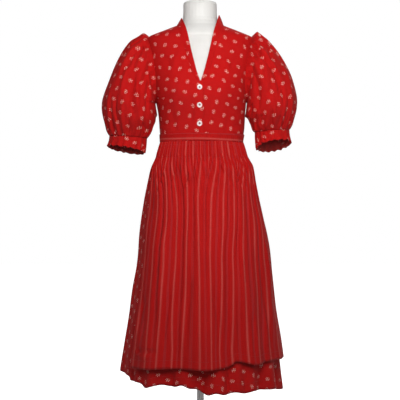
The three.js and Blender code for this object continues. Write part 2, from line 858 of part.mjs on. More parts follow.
function formTorso() {
  const heights = [1394, 1386, 1378, 1370, 1362, 1355, 1343, 1325, 1290, 1240, 1180, 1120, 1070, 1020];
  const rings = FORM_NECK.map((row) => (angle) => sectionPoint(FORM_NECK, angle, row.z));
  for (const z of heights) {
    rings.push((angle) => offsetPoint(bodySurface, angle, z, -CLOTH - formClearance(z)));
  }
  for (const row of FORM_HIPS) {
    rings.push((angle) => sectionPoint(FORM_HIPS, angle, row.z));
  }
  return ringStack(rings, FORM_SIDES);
}

function formCap() {
  const low = FORM_NECK[0].z + SEAM_GAP;
  const shrink = [[low, 1], [CAP_TOP - 3.5, 0.97], [CAP_TOP - 1, 0.9], [CAP_TOP, 0.8]];
  const rings = shrink.map(([z, scale]) => (angle) => {
    const point = sectionPoint(FORM_NECK, angle, FORM_NECK[0].z);
    return new THREE.Vector3(point.x * scale, point.y * scale, z);
  });
  return ringStack(rings.reverse(), FORM_SIDES);
}

const group = new THREE.Group();

function add(name, geometry, look) {
  const mesh = new THREE.Mesh(geometry, look.clone());
  mesh.name = name;
  group.add(mesh);
  return mesh;
}

add('bodice_front_right', bodiceFront(-1, true), floral);
add('bodice_front_left', bodiceFront(1, false), floral);
add('bodice_back', bodiceBack(), floral);
add('neckband_right', neckband(-1, 0), floral);
add('neckband_left', neckband(1, 10), floral);
add('sleeve_right', sleeve(SLEEVES.right), floral);
add('sleeve_left', sleeve(SLEEVES.left), floral);
add('cuff_right', cuff(SLEEVES.right), floral);
add('cuff_left', cuff(SLEEVES.left), floral);
add('skirt', skirt(), floral);

add('apron_waistband', waistStrip(-82, 96, BAND_TOP, BAND_BOTTOM, 37), stripe);
add('apron_smocking', smockedBand(), stripe);
add('apron_skirt', apronSkirt(), stripe);
add('apron_tie_right', waistStrip(-82.3, -179.2, BAND_TOP - 1, BAND_BOTTOM + 1, 17), stripe);
add('apron_tie_left', waistStrip(96.3, 179.2, BAND_TOP - 1, BAND_BOTTOM + 1, 15), stripe);
add('bow_loop_right', bowLoop(-1), stripe);
add('bow_loop_left', bowLoop(1), stripe);
add('bow_tail_right', bowTail(-1), stripe);
add('bow_tail_left', bowTail(1), stripe);
add('bow_knot', bowKnot(), stripe);

BUTTON.heights.forEach((height, k) => {
  const button = add(`button_${k + 1}`, buttonShape(), pearl);
  const angle = angleAt(BUTTON.x, height, false);
  const seat = offsetPoint(bodySurface, angle, height, BUTTON_LAP + 0.6);
  const outward = offsetPoint(bodySurface, angle, height, BUTTON_LAP + 10).sub(seat).normalize();
  button.position.copy(seat);
  button.quaternion.setFromUnitVectors(new THREE.Vector3(0, 0, 1), outward);
});

add('form_torso', formTorso(), white);
add('form_neck_cap', formCap(), white);
const poleFoot = BASE_HEIGHT + SEAM_GAP;
const poleHead = FORM_HIPS[FORM_HIPS.length - 1].z - SEAM_GAP;
add('form_pole', turned([
  [0, poleFoot], [POLE_RADIUS, poleFoot], [POLE_RADIUS, poleHead], [0, poleHead],
], 24), white);
add('form_base', turned([
  [0, 0], [BASE_RADIUS, 0], [BASE_RADIUS, 5], [BASE_RADIUS - 6, 10], [60, BASE_HEIGHT], [0, BASE_HEIGHT],
], 40), white);

export default group;
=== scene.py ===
# The looks of a dirndl dress with its apron on a limbless dress form.
# Cloth is worked out in millimetres in the part's own frame and becomes metres in make_cloth.
# Angles run round the body from the front: 0 centre front, 90 the +X side, 180 centre back.
import math
import random

import bpy
import numpy as np
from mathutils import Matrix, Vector


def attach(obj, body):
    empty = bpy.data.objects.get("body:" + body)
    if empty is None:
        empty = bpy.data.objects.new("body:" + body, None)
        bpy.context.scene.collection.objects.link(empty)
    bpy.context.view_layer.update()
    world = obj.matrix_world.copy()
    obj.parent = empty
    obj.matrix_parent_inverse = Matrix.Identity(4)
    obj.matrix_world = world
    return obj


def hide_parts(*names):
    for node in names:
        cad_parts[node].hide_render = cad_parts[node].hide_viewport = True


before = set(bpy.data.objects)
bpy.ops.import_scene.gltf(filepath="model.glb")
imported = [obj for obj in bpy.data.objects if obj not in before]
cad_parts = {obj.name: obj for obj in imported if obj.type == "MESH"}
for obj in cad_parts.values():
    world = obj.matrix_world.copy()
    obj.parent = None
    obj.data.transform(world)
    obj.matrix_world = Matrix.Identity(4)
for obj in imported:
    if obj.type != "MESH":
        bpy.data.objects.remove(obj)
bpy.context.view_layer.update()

# Heights on the body.
SHOULDER_END = 1355
NECK_SIDE = 1394
BACK_NECK = 1380
UNDERARM = 1145
WAIST = 1020
BAND_TOP = 1035
BAND_BOTTOM = 1009
SMOCK_BOTTOM = 955
# How far the buttoned edge lies over the other one.
BUTTON_LAP = 2.8
BUTTON_X = -2.5
BUTTON_HEIGHTS = (1177.5, 1122.5, 1064.5)
# The cloth that shows, and half of the thicker wall that it stands for.
CLOTH_THICKNESS = 1.1
HALF_WALL = 0.9
# Where the bodice's front and back meet below the armhole, in degrees from either middle.
SIDE_SEAM = 89.88
# Millimetres a degree, round the body and round a sleeve.
BODY_MM = 3.8
SLEEVE_MM = 1.7
SLEEVE_LENGTH = 330
# The skirt's widths, and how far apart their middles lie in the print.
GORES = 6
GORE_STEP = 483.0
SMOCK_LENGTH = 54
# Width of a waist strip, and where its edge lies in the stripe repeat.
STRIP_WIDTH = 26
STRIP_STRIPE = 29.3


def table(names, rows):
    """Named columns of a small table."""
    return dict(zip(names.split(), np.array(rows, float).T))


# Outer face of the fitted dress, as in the part: half width, depths, shift and roundness.
BODY = table("z width front back shift round", [
    [1394, 76, 66, 74, 0, 0.97], [1386, 97, 73, 80, 0, 0.96], [1378, 116, 79, 85, 0, 0.95],
    [1370, 135, 84, 89, 0, 0.94], [1362, 155, 88, 92, 0, 0.93], [1355, 171, 91, 95, 0, 0.92],
    [1343, 175.5, 96, 99, 0, 0.9], [1325, 174, 102, 103, 0, 0.9], [1300, 171, 108, 107, 0, 0.9],
    [1250, 165, 119, 111, 0, 0.9], [1201, 156, 128, 110, 0, 0.9], [1165, 151, 130, 107, 1, 0.9],
    [1145, 149, 128, 104, 2, 0.9], [1110, 144, 120, 100, 4, 0.91], [1080, 141.5, 112, 96, 5, 0.92],
    [1050, 139.5, 106, 93, 5, 0.93], [1020, 135.5, 101, 92, 4, 0.94], [1005, 135.5, 102, 94, 3, 0.95],
    [985, 138, 106, 98, 3, 0.96], [965, 142, 111, 104, 3, 0.97], [952, 147, 115, 109, 4, 0.98],
    [926, 158, 123, 120, 4, 0.99], [873, 170, 136, 136, 2, 1], [820, 181, 148, 150, 1, 1],
    [714, 202, 169, 172, 6, 1], [609, 214, 186, 190, 7, 1], [503, 226, 200, 204, 4, 1],
    [397, 242, 213, 217, 3, 1], [292, 256, 224, 227, 3, 1], [210, 265, 231, 233, 3, 1],
])
BODICE_ROWS = table("side rise", [
    [1355, 1], [1354.3, 0.975], [1352, 0.9], [1345, 0.76], [1330, 0.6], [1305, 0.4],
    [1280, 0.24], [1250, 0.1], [1225, 0], [1201, 0], [1197, 0], [1165, 0], [1145, 0],
    [1110, 0], [1080, 0], [1050, 0], [1020.175, 0],
])
BACK_SHARES = np.array([
    1, 0.85, 0.7, 0.56, 0.4442, 0.41, 0.36, 0.27, 0.14, 0,
    -0.14, -0.27, -0.36, -0.41, -0.4442, -0.56, -0.7, -0.85, -1,
])
NECK_SEAM = table("z x", [
    [1197, -12], [1201, 15], [1225, 24], [1254, 33], [1290, 43], [1321, 51],
    [1353, 58.5], [1375, 65.5], [1387, 71.5], [1394, 76],
])
NECK_EDGE = table("x y z point", [
    [1.6, -130.2, 1202, 0], [10.5, -127.3, 1227, 0], [18.5, -122.2, 1257, 0], [27.5, -113.6, 1293, 0],
    [34, -104.6, 1324, 0], [40.5, -91.5, 1354, 0], [46.5, -75, 1377, 0.1], [53, -52, 1396, 0.4],
    [58.5, -24, 1412, 0.9], [61, 3, 1421, 1], [61, 22, 1419, 0.9], [57, 40, 1416, 0.7],
    [43, 60, 1412, 0.4], [23, 70, 1408, 0.2], [0.2, 73, 1407, 0],
])
SLEEVE_NAMES = "outX outZ inX inZ front back"
SLEEVES = {
    "right": table(SLEEVE_NAMES, [
        [186, 1363, 149, 1138, 72, 72], [202, 1352, 148, 1124, 88, 86],
        [232, 1333, 147, 1110, 100, 97], [266, 1283, 147, 1097, 106, 102],
        [296, 1220, 149, 1084, 106, 101], [316, 1155, 152, 1071, 100, 95],
        [317, 1105, 157, 1058, 88, 84], [308, 1064, 165, 1044, 72, 69],
        [298, 1032, 177, 1023, 56, 55],
    ]),
    "left": table(SLEEVE_NAMES, [
        [186, 1367, 154, 1140, 72, 72], [201, 1355, 153.5, 1128, 88, 86],
        [226, 1332, 153, 1116, 100, 97], [265, 1284, 153, 1105, 106, 102],
        [297, 1226, 155, 1094, 106, 101], [313, 1165, 160, 1083, 100, 95],
        [312, 1118, 166, 1072, 88, 84], [301, 1080, 172, 1058, 72, 69],
        [291, 1052, 179, 1043, 55, 54],
    ]),
}
# How far the puff stands out to the front, by height.
PUFF = table("z depth", [
    [1010, 54], [1027, 56], [1054, 72], [1081, 88], [1113, 100], [1152, 106], [1190, 106], [1221, 101],
    [1250, 95], [1300, 76], [1340, 44], [1365, 14],
])
CUFF_NAMES = "outX outZ inX inZ front back wave tip"
CUFFS = {
    "right": table(CUFF_NAMES, [
        [297.5, 1031, 177.5, 1022, 55.5, 54.5, 0.6, 0], [298.5, 1020, 178.5, 1008, 55, 54, 1.6, 1],
        [301, 1007, 181, 990, 56, 55, 2.6, 3], [304.5, 995, 184.5, 974, 58, 57, 4, 8],
    ]),
    "left": table(CUFF_NAMES, [
        [290.5, 1051, 179.5, 1042, 54.5, 53.5, 0.6, 0], [291.5, 1038, 180.5, 1027, 54, 53, 1.6, 3],
        [294, 1022, 182.5, 1008, 55, 54, 2.6, 8], [297, 1006, 185, 990, 57, 56, 4, 16],
    ]),
}
SKIRT_FOLDS = table("angle height spread", [
    [-84, 15, 8], [-66, 10, 8], [-49, 18, 6], [-36, 24, 7], [-11, 16, 7], [11, 28, 8],
    [25, 20, 5], [36, 20, 6], [56, 22, 9], [83, 11, 9], [107, 16, 9], [130, 24, 10],
    [152, 20, 8], [173, 24, 9], [196, 22, 9], [217, 26, 9], [239, 20, 9], [257, 18, 8],
])
APRON_FOLDS = table("angle height spread", [
    [-55, 10, 9], [-36, 26, 13], [3, 30, 13], [37, 24, 10], [66, 16, 13], [88, 9, 9],
])
APRON_HEM = table("angle z", [
    [-62, 289], [-40, 291], [-16, 300], [3, 297], [18, 306], [24, 320], [38, 305], [50, 310], [94, 303],
])
HEM = table("angle z", [
    [-95, 258], [-75, 253], [-60, 249], [-48, 246], [-37, 237], [-27, 246], [-17, 249], [-8, 244],
    [3, 227], [14, 225], [28, 226], [38, 224], [46, 228], [56, 221], [68, 212], [82, 207], [95, 210],
    [125, 222], [155, 231], [185, 234], [215, 237], [242, 247], [265, 258],
])
# How far the apron lies over the skirt, and its edges in degrees.
APRON_CLEARANCE = 6.2
APRON_START = -76
APRON_END = 93
SMOCK_PLEATS = 52

# Millimetres of cloth in one repeat of the apron's stripes, and repeats across the apron.
STRIPE_REPEAT = 38.0
APRON_REPEATS = 18.5

# Folds placed one by one: from one place to another, height (a trough is below 0), half width, bow.
FOLD_NAMES = "fromA fromB toA toB height half bow"
# On the bodice front a place is millimetres from the middle, and the height.
BODICE_FRONT_FOLDS = table(FOLD_NAMES, [
    [-150, 1128, -70, 1168, -2.4, 9, 4], [-148, 1100, -78, 1132, -1.8, 8, -3],
    [-142, 1062, -60, 1082, -1.6, 7, 3], [-128, 1290, -88, 1230, -2.2, 9, -4],
    [-60, 1300, -100, 1205, 1.8, 11, 5], [-30, 1150, -22, 1040, -1.6, 6, 2],
    [-92, 1120, -74, 1018, -2.0, 8, 3], [-20, 1196, -52, 1150, -1.8, 8, 2],
    [150, 1126, 76, 1170, -2.2, 9, -4], [147, 1092, 70, 1120, -2.0, 8, 3],
    [140, 1055, 58, 1070, -1.5, 7, -2], [130, 1288, 92, 1222, -2.4, 9, 4],
    [58, 1296, 104, 1200, 1.8, 11, -5], [34, 1160, 26, 1044, -1.6, 6, -2],
    [98, 1124, 80, 1018, -2.0, 8, -3], [24, 1192, 58, 1146, -1.6, 8, -2],
])
BODICE_BACK_FOLDS = table(FOLD_NAMES, [
    [-140, 1130, -60, 1160, -2.2, 9, 4], [-138, 1080, -56, 1096, -1.8, 8, -3],
    [140, 1134, 66, 1158, -2.0, 9, -4], [138, 1074, 50, 1092, -1.8, 8, 3],
    [-70, 1330, -96, 1200, 1.6, 12, 5], [72, 1328, 92, 1204, 1.6, 12, -5],
    [-84, 1130, -66, 1018, -2.0, 8, 2], [82, 1128, 64, 1018, -2.0, 8, -2],
    [-24, 1120, -10, 1030, -1.4, 7, 3], [30, 1116, 14, 1028, -1.4, 7, -3],
])
# On a sleeve: turn round it in degrees (0 the outer top, 90 the front), millimetres from the armhole.
SLEEVE_FOLDS = {
    "right": table(FOLD_NAMES, [
        [-14, -20, -22, 150, 5.5, 8, 4], [6, -20, 4, 200, 6.5, 8, -5], [24, -20, 26, 150, 6, 7, 3],
        [40, -20, 50, 215, 6.5, 8, -4], [56, -20, 74, 140, 5, 7, 3], [72, -20, 96, 190, 5, 8, 4],
        [90, -20, 118, 120, 4, 8, -3], [112, -20, 138, 150, 3.5, 9, 3], [15, 10, 15, 190, -5, 6, 2],
        [48, 10, 62, 200, -5.5, 6, -3], [84, 10, 106, 170, -4.5, 7, 3], [-30, -20, -46, 170, 5.5, 8, -4],
        [-48, -20, -64, 210, 6, 8, 5], [-68, -20, -90, 140, 5, 7, -3], [-90, -20, -116, 180, 4.5, 8, 4],
        [-112, -20, -140, 130, 3.5, 9, -3], [-38, 10, -54, 190, -5, 6, 3], [-78, 10, -100, 170, -4.5, 7, -3],
        [0, 345, 6, 180, 5, 7, -4], [22, 345, 24, 230, 4.5, 6, 3], [42, 345, 40, 165, 5.5, 8, -4],
        [64, 345, 66, 220, 4.5, 6, 3], [84, 345, 82, 150, 5.5, 8, 5], [106, 345, 104, 215, 4.5, 7, -3],
        [128, 345, 122, 170, 5, 8, 3], [150, 345, 144, 225, 4, 7, -3], [172, 345, 168, 190, 4, 8, 3],
        [53, 345, 52, 200, -4.5, 5, 2], [95, 345, 92, 180, -5, 6, -3], [139, 345, 132, 200, -4.5, 6, 3],
        [-22, 345, -18, 200, 5, 7, 4], [-44, 345, -42, 160, 5.5, 8, -4], [-66, 345, -62, 225, 4.5, 6, 3],
        [-88, 345, -86, 170, 5.5, 8, -5], [-112, 345, -108, 220, 4.5, 7, 3], [-136, 345, -130, 180, 5, 8, -3],
        [-160, 345, -152, 215, 4, 7, 3], [-55, 345, -52, 190, -4.5, 5, -2], [-100, 345, -97, 190, -5, 6, 3],
        [46, 40, 66, 100, -6, 5, 0], [50, 62, 76, 150, -8, 6, 3], [77, 120, 106, 245, -8, 7, 4],
        [104, 62, 139, 215, -9, 9, 3], [62, 200, 70, 290, -8, 6, -3], [166, 55, 124, 160, -8, 8, 0],
        [94, 135, 118, 235, 6, 8, 2], [55, 135, 77, 215, 6, 9, 0], [50, 262, 48, 325, -5, 6, 0],
        [126, 240, 156, 318, -3.5, 6, 0], [88, 190, 96, 275, 4, 8, 0], [8, 120, 32, 170, -4, 7, 0],
    ]),
    "left": table(FOLD_NAMES, [
        [-10, -20, -16, 170, 5.5, 8, -4], [10, -20, 12, 210, 6.5, 8, 5], [28, -20, 34, 140, 5.5, 7, -3],
        [44, -20, 58, 200, 6.5, 8, 4], [62, -20, 80, 150, 5, 7, -3], [80, -20, 104, 205, 5, 8, -4],
        [98, -20, 124, 130, 4, 8, 3], [118, -20, 142, 160, 3.5, 9, -3], [20, 10, 22, 180, -5, 6, -2],
        [53, 10, 70, 190, -5.5, 6, 3], [90, 10, 112, 160, -4.5, 7, -3], [-26, -20, -40, 190, 5.5, 8, 4],
        [-46, -20, -62, 150, 6, 8, -5], [-66, -20, -86, 200, 5, 7, 3], [-86, -20, -110, 150, 4.5, 8, -4],
        [-108, -20, -136, 170, 3.5, 9, 3], [-36, 10, -50, 180, -5, 6, -3], [-76, 10, -98, 160, -4.5, 7, 3],
        [4, 345, 8, 190, 5, 7, 4], [26, 345, 24, 220, 4.5, 6, -3], [46, 345, 48, 170, 5.5, 8, 4],
        [68, 345, 64, 230, 4.5, 6, -3], [90, 345, 88, 160, 5.5, 8, -5], [110, 345, 112, 205, 4.5, 7, 3],
        [132, 345, 128, 180, 5, 8, -3], [154, 345, 148, 215, 4, 7, 3], [176, 345, 170, 200, 4, 8, -3],
        [57, 345, 55, 190, -4.5, 5, -2], [99, 345, 100, 190, -5, 6, 3], [143, 345, 138, 205, -4.5, 6, -3],
        [-20, 345, -14, 210, 5, 7, -4], [-42, 345, -38, 170, 5.5, 8, 4], [-62, 345, -60, 220, 4.5, 6, -3],
        [-86, 345, -82, 160, 5.5, 8, 5], [-110, 345, -104, 210, 4.5, 7, -3], [-132, 345, -128, 170, 5, 8, 3],
        [-156, 345, -150, 220, 4, 7, -3], [-52, 345, -49, 200, -4.5, 5, 2], [-98, 345, -93, 180, -5, 6, -3],
        [44, 60, 78, 105, -7, 5, 2], [28, 112, 62, 136, -6, 6, 4], [58, 120, 78, 215, -8, 7, -3],
        [96, 90, 134, 220, -9, 10, 3], [138, 130, 158, 220, -8, 10, 0], [126, 225, 132, 305, -6, 6, 0],
        [98, 260, 87, 330, -6, 6, 2], [62, 175, 71, 245, -6, 7, 0], [75, 115, 98, 178, 7, 10, 0],
        [95, 175, 105, 270, 6, 11, 2], [76, 265, 64, 330, -5, 6, 0], [30, 150, 44, 230, 4, 9, 3],
    ]),
}
# On the apron and the skirt: degrees round the body, and the height.
APRON_CREASES = table(FOLD_NAMES, [
    [-13, 915, -21, 812, -8, 4.5, 2], [-17, 905, -13, 862, -5, 4, 2], [-40, 930, -50, 820, 5, 5, -3],
    [-26, 925, -34, 850, -6, 4, 2], [-8, 905, -13, 870, 4, 4, 0], [20, 935, 26, 880, -4, 4, -1],
    [40, 930, 50, 830, -4, 5, 3], [64, 935, 74, 840, -4, 5, 3], [26, 920, 24, 840, 3.5, 6, 2],
    [-33, 760, -29, 420, 5, 12, 10], [0, 720, 4, 340, 4.5, 14, -10], [33, 700, 32, 380, 5, 11, 9],
    [64, 720, 61, 400, 4.5, 13, -9], [-8, 600, -10, 330, -5, 9, 4], [8, 560, 12, 330, -5, 8, -6],
    [-52, 354, -38, 341, -5, 4, 3], [-40, 341, -28, 352, -5, 4, -2], [-52, 344, -34, 328, 4, 6, 4],
    [-47, 520, -50, 380, -4, 9, 4], [-44, 450, -47, 360, -3, 6, -3], [40, 480, 38, 290, -5, 7, 5],
    [-24, 560, -26, 300, -5, 7, 5], [55, 620, 56, 300, -4, 8, -5], [4, 450, 2, 300, 3, 10, 3],
])
SKIRT_CREASES = table(FOLD_NAMES, [
    [-88, 990, -84, 640, 5, 9, 6], [-70, 880, -68, 420, 4, 8, -6], [-76, 700, -76, 230, -6, 9, 5],
    [104, 990, 108, 600, 6, 9, 6], [118, 990, 122, 700, -5, 8, -5], [128, 990, 131, 640, 6, 9, 5],
    [141, 960, 143, 380, -6, 9, -6], [152, 990, 152, 680, 6, 8, 4], [162, 960, 163, 420, -6, 9, 6],
    [173, 990, 172, 620, 6, 9, -5], [185, 950, 184, 400, -6, 9, 5], [196, 990, 197, 660, 6, 9, 5],
    [207, 960, 207, 420, -6, 9, -6], [217, 990, 218, 600, 6, 9, -5], [228, 950, 229, 380, -6, 9, 6],
    [239, 990, 240, 680, 6, 9, 4], [250, 930, 249, 420, -6, 9, -5], [258, 990, 256, 640, 5, 9, 5],
    [-60, 285, -58, 205, 5, 7, 0], [-20, 300, -21, 205, -7, 7, 2], [2, 300, 1, 205, -7, 6, -2],
    [18, 290, 18, 205, -7, 5, 2], [31, 290, 31, 205, -2.5, 6, -1], [46, 300, 46, 205, -4, 9, 2],
    [70, 300, 70, 205, -6, 8, -2], [95, 420, 95, 205, -6, 8, 3], [118, 360, 119, 205, -7, 8, -3],
])

# The apron's pale stripes: angle at each height, repeats from the edge, repeats that the fold
# after it hides, and that fold's depth and where it ends.
STRIPE_HEIGHTS = {"low": 358, "middle": 510, "upper": 664, "hip": 826, "top": 955}
STRIPE_RUNS = table("top hip upper middle low repeats hidden depth end", [
    [-76, -62, -58.5, -56, -54.5, 0, 0, 3, 700], [-64.6, -45.3, -44, -40.9, -38.2, 1.25, 1, 7, 300],
    [-46.3, -33.8, -31.9, -30.3, -30.1, 3.25, 0, 4.5, 760],
    [-37.2, -23.8, -22.2, -22.1, -20, 4.25, 1, 7, 250],
    [-18.9, -12.6, -13.3, -12.7, -13.4, 6.25, 1, 6.5, 560], [-0.6, -2.7, -3, -1.5, -0.8, 8.25, 1, 7, 480],
    [17.6, 10.2, 5.7, 6.4, 6.4, 10.25, 0, 4.5, 640], [26.8, 22.1, 15.6, 14.5, 11.9, 11.25, 0, 6, 250],
    [35.9, 33.3, 25.1, 23.8, 20.7, 12.25, 1, 7, 300], [54.2, 44.2, 33.8, 33.3, 32.3, 14.25, 0, 5.5, 420],
    [63.3, 57, 48.3, 46.6, 41.4, 15.25, 0, 6, 250], [72.4, 70, 60.4, 60, 54.6, 16.25, 0, 4.5, 620],
    [81.6, 82, 74, 72, 66, 17.25, 0, 4, 500], [93, 93, 93, 93, 93, 18.5, 0, 0, 900],
])
# Small steps of the dress's hem where its folds turn in.
HEM_STEPS = table("angle z", [
    [-95, 4], [-64, 8], [-59, -2], [-45, 1], [-41, -5], [-35, 2], [-29, 3], [-19, -5], [-13, 2], [-8, -3],
    [-2, 3], [4, -5], [9, 2], [15, -3], [22, 2], [30, -4], [37, 2], [48, -3], [62, 2], [80, -3], [265, 4],
])

def mix(a, b, t):
    return a + (b - a) * t


def ease(t):
    s = np.clip(t, 0, 1)
    return s * s * (3 - 2 * s)


def smooth(keys, values, key):
    """Smooth curve through values, level past its ends. Values may be points."""
    keys, values = np.asarray(keys, float), np.asarray(values, float)
    place = np.clip(key, keys[0], keys[-1])
    b = np.clip(np.searchsorted(keys, place), 1, len(keys) - 1)
    a = b - 1
    before, after = np.maximum(a - 1, 0), np.minimum(b + 1, len(keys) - 1)

    def slope(low, high):
        rise = values[high] - values[low]
        run = (keys[high] - keys[low]) / (keys[b] - keys[a])
        return rise / (run[..., None] if values.ndim > 1 else run)

    t = (place - keys[a]) / (keys[b] - keys[a])
    t = t[..., None] if values.ndim > 1 else t
    t2, t3 = t * t, t ** 3
    return ((2 * t3 - 3 * t2 + 1) * values[a] + (t3 - 2 * t2 + t) * slope(before, b)
            + (3 * t2 - 2 * t3) * values[b] + (t3 - t2) * slope(a, after))


def rows_at(rows, place):
    """Every column of a table at a place that counts its rows."""
    return {name: smooth(range(len(values)), values, place) for name, values in rows.items()}


def measures(z):
    """The dress's width, front, back, shift and roundness at a height."""
    height, *columns = (values[::-1] for values in BODY.values())
    return [smooth(height, values, z) for values in columns]


def grid(down, rows, across, columns, closed=False):
    """Two grids, of values that run down the rows and of values that run across the columns."""
    return np.meshgrid(np.linspace(*down, rows), np.linspace(*across, columns, endpoint=not closed),
                       indexing="ij")


def power(value, exponent):
    return np.sign(value) * np.abs(value) ** exponent


def body(angle, z):
    """The fitted dress's outer face at an angle and height, with its bust shaping."""
    angle, z = np.broadcast_arrays(np.asarray(angle, float), np.asarray(z, float))
    sine, cosine = np.sin(np.radians(angle)), np.cos(np.radians(angle))
    width, front, back, shift, roundness = measures(z)
    x = shift + width * power(sine, roundness)
    y = -np.where(cosine > 0, front, back) * power(cosine, roundness)
    bust = 9 * np.exp(-((np.abs(x) - 80) / 48) ** 2 - ((z - 1180) / 52) ** 2)
    return np.stack([x, np.where(y < 0, y - bust, y), z], -1)


def offset(angle, z, distance):
    """The dress's surface moved out along its own normal."""
    across = body(angle + 0.4, z) - body(angle - 0.4, z)
    down = body(angle, z - 1.5) - body(angle, z + 1.5)
    normal = np.cross(down, across)
    normal /= np.linalg.norm(normal, axis=-1, keepdims=True)
    return body(angle, z) + normal * np.asarray(distance, float)[..., None]


def angle_at(x, z, behind):
    width, _, _, shift, roundness = measures(z)
    share = (x - shift) / width
    angle = np.sign(share) * np.degrees(np.arcsin(np.minimum(1, np.abs(share) ** (1 / roundness))))
    return 180 - angle if behind else angle


def armhole_reach(z, behind):
    share = (z - UNDERARM) / (SHOULDER_END - UNDERARM)
    inside = np.clip(4 * share * (1 - share), 0, None)
    return 0.12 + (23 if behind else 26) * inside ** 0.55


RIDGE_Z = np.linspace(SHOULDER_END, NECK_SIDE, 400)
RIDGE_X = measures(RIDGE_Z)[0]
SHOULDER_X, NECK_X = RIDGE_X[0], RIDGE_X[-1]


def shoulder_height(x):
    return np.interp(x, RIDGE_X[::-1], RIDGE_Z[::-1])


def back_top(x):
    inside = BACK_NECK + (NECK_SIDE - BACK_NECK) * (np.minimum(x, NECK_X) / NECK_X) ** 3
    return np.where(x > NECK_X, shoulder_height(x), inside)


def creases(marks, across, along):
    """Height of folds laid one by one, each fading out at both ends."""
    total = np.zeros(np.broadcast(across, along).shape)
    for a0, b0, a1, b1, height, half, bow in zip(*marks.values()):
        run_a, run_b = a1 - a0, b1 - b0
        length = math.hypot(run_a, run_b)
        share = ((across - a0) * run_a + (along - b0) * run_b) / length ** 2
        side = ((across - a0) * run_b - (along - b0) * run_a) / length
        side = side - bow * np.sin(np.pi * np.clip(share, 0, 1))
        total += height * np.exp(-(side / half) ** 2) * ease(share / 0.25) * ease((1 - share) / 0.45)
    return total


def round_creases(marks, degrees, along, scale, turn=0):
    """Folds whose first place is in degrees, at so many millimetres a degree."""
    ends = {name: (marks[name] + turn) * scale for name in ("fromA", "toA")}
    return creases({**marks, **ends}, degrees * scale, along)


def gathers(share, count, seed, least=0.5):
    """Uneven ripples along a gathered seam: -1 in the troughs and up to 1 on the ridges."""
    pick = random.Random(seed)
    marks = [k + pick.uniform(-0.28, 0.28) for k in range(count + 1)]
    marks[0], marks[-1] = 0, count
    phase = np.interp(share * count, marks, range(count + 1))
    sizes = [pick.uniform(least, 1) for _ in range(count + 1)]
    sizes[-1] = sizes[0]
    return np.interp(phase, range(count + 1), sizes) * np.cos(2 * np.pi * phase)


def slack(across, along, seed, length, height):
    """Slight uneven billow of loose cloth."""
    pick = random.Random(seed)
    total = 0
    for _ in range(7):
        turn, size = pick.uniform(0, math.tau), pick.uniform(0.7, 1.6) * length
        start = pick.uniform(0, math.tau)
        run = across * math.cos(turn) + along * math.sin(turn)
        total = total + np.sin(run * math.tau / size + start)
    return total * height / 3.5


def normals(points, closed):
    """Unit normals of a grid of points, down times across."""
    if closed:
        across = np.roll(points, -1, 1) - np.roll(points, 1, 1)
    else:
        across = np.gradient(points, axis=1)
    found = np.cross(np.gradient(points, axis=0), across)
    return found / np.maximum(np.linalg.norm(found, axis=-1, keepdims=True), 1e-9)


def looks_in(points, closed):
    """Whether the grid's normals point to the middle of its rows, or to the body's own axis."""
    middle = points.mean(1, keepdims=True) if closed else points * np.array([0, 0, 1.0])
    return (normals(points, closed) * (points - middle)).sum() < 0


def half_wall_out(points):
    """A closed grid moved from the middle of the cloth's wall to its outer face."""
    return points + normals(points, True) * (-HALF_WALL if looks_in(points, True) else HALF_WALL)


def lengths(points, axis):
    """Distance along the cloth from its first row or column."""
    step = np.linalg.norm(np.diff(points, axis=axis), axis=-1)
    start = np.zeros_like(points[..., 0].take([0], axis=axis))
    return np.concatenate([start, np.cumsum(step, axis=axis)], axis=axis)


def sheet_place(points, start):
    """Flat place of an open strip: across it from where it starts in the pattern, and along it."""
    return np.stack([lengths(points, 1) + start, lengths(points, 0)], -1)


def loop_place(points):
    """Flat place round a closed piece and up it."""
    loop = closed_up(points)
    return np.stack([lengths(loop, 1), -lengths(loop, 0)], -1)


def closed_up(points):
    return np.concatenate([points, points[:, :1]], 1)


def put(name, data):
    """A new object in the scene."""
    made = bpy.data.objects.new(name, data)
    bpy.context.scene.collection.objects.link(made)
    return made


def put_piece(name, mesh):
    """A new object that belongs to the part."""
    piece = put(name, mesh)
    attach(piece, "root")
    return piece


pieces = {}


def make_cloth(node, points, flat, look, closed=False, shift=None, turned=True):
    """A thin cloth shell in the place of a node, with a grid of points as its outer face.

    flat is each point's place on the cut cloth in mm, shift is taken off it column by column, and
    turned makes the face look outwards.
    """
    rows, columns = points.shape[:2]
    i, j = np.meshgrid(np.arange(rows - 1), np.arange(columns if closed else columns - 1), indexing="ij")
    right = (j + 1) % columns
    quads = np.stack([i * columns + j, (i + 1) * columns + j,
                      (i + 1) * columns + right, i * columns + right], -1).reshape(-1, 4)
    places = np.stack([flat[i, j], flat[i + 1, j], flat[i + 1, j + 1], flat[i, j + 1]], 2)
    if shift is not None:
        for corner, row in enumerate((i, i + 1, i + 1, i)):
            places[:, :, corner, 0] -= shift[row, j]
    places = places.reshape(-1, 4, 2)
    if turned and looks_in(points, closed):
        quads, places = quads[:, ::-1], places[:, ::-1]
    slot, outside, inside = look
    mesh = bpy.data.meshes.new(node + "_cloth")
    mesh.from_pydata((points.reshape(-1, 3) * 0.001).tolist(), [], quads.tolist())
    layer = mesh.uv_layers.new(name="cloth")
    layer.data.foreach_set("uv", (places.reshape(-1, 2) * 0.001).astype(np.float32).ravel())
    mesh.polygons.foreach_set("use_smooth", np.ones(len(quads), bool))
    mesh.materials.append(outside)
    mesh.materials.append(inside)
    piece = put_piece(node + "_cloth", mesh)
    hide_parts(node)
    shell = piece.modifiers.new("cloth thickness", "SOLIDIFY")
    shell.thickness = CLOTH_THICKNESS * 0.001
    shell.offset = -1
    shell.material_offset = 1
    shell.use_rim = True
    pieces[node] = piece


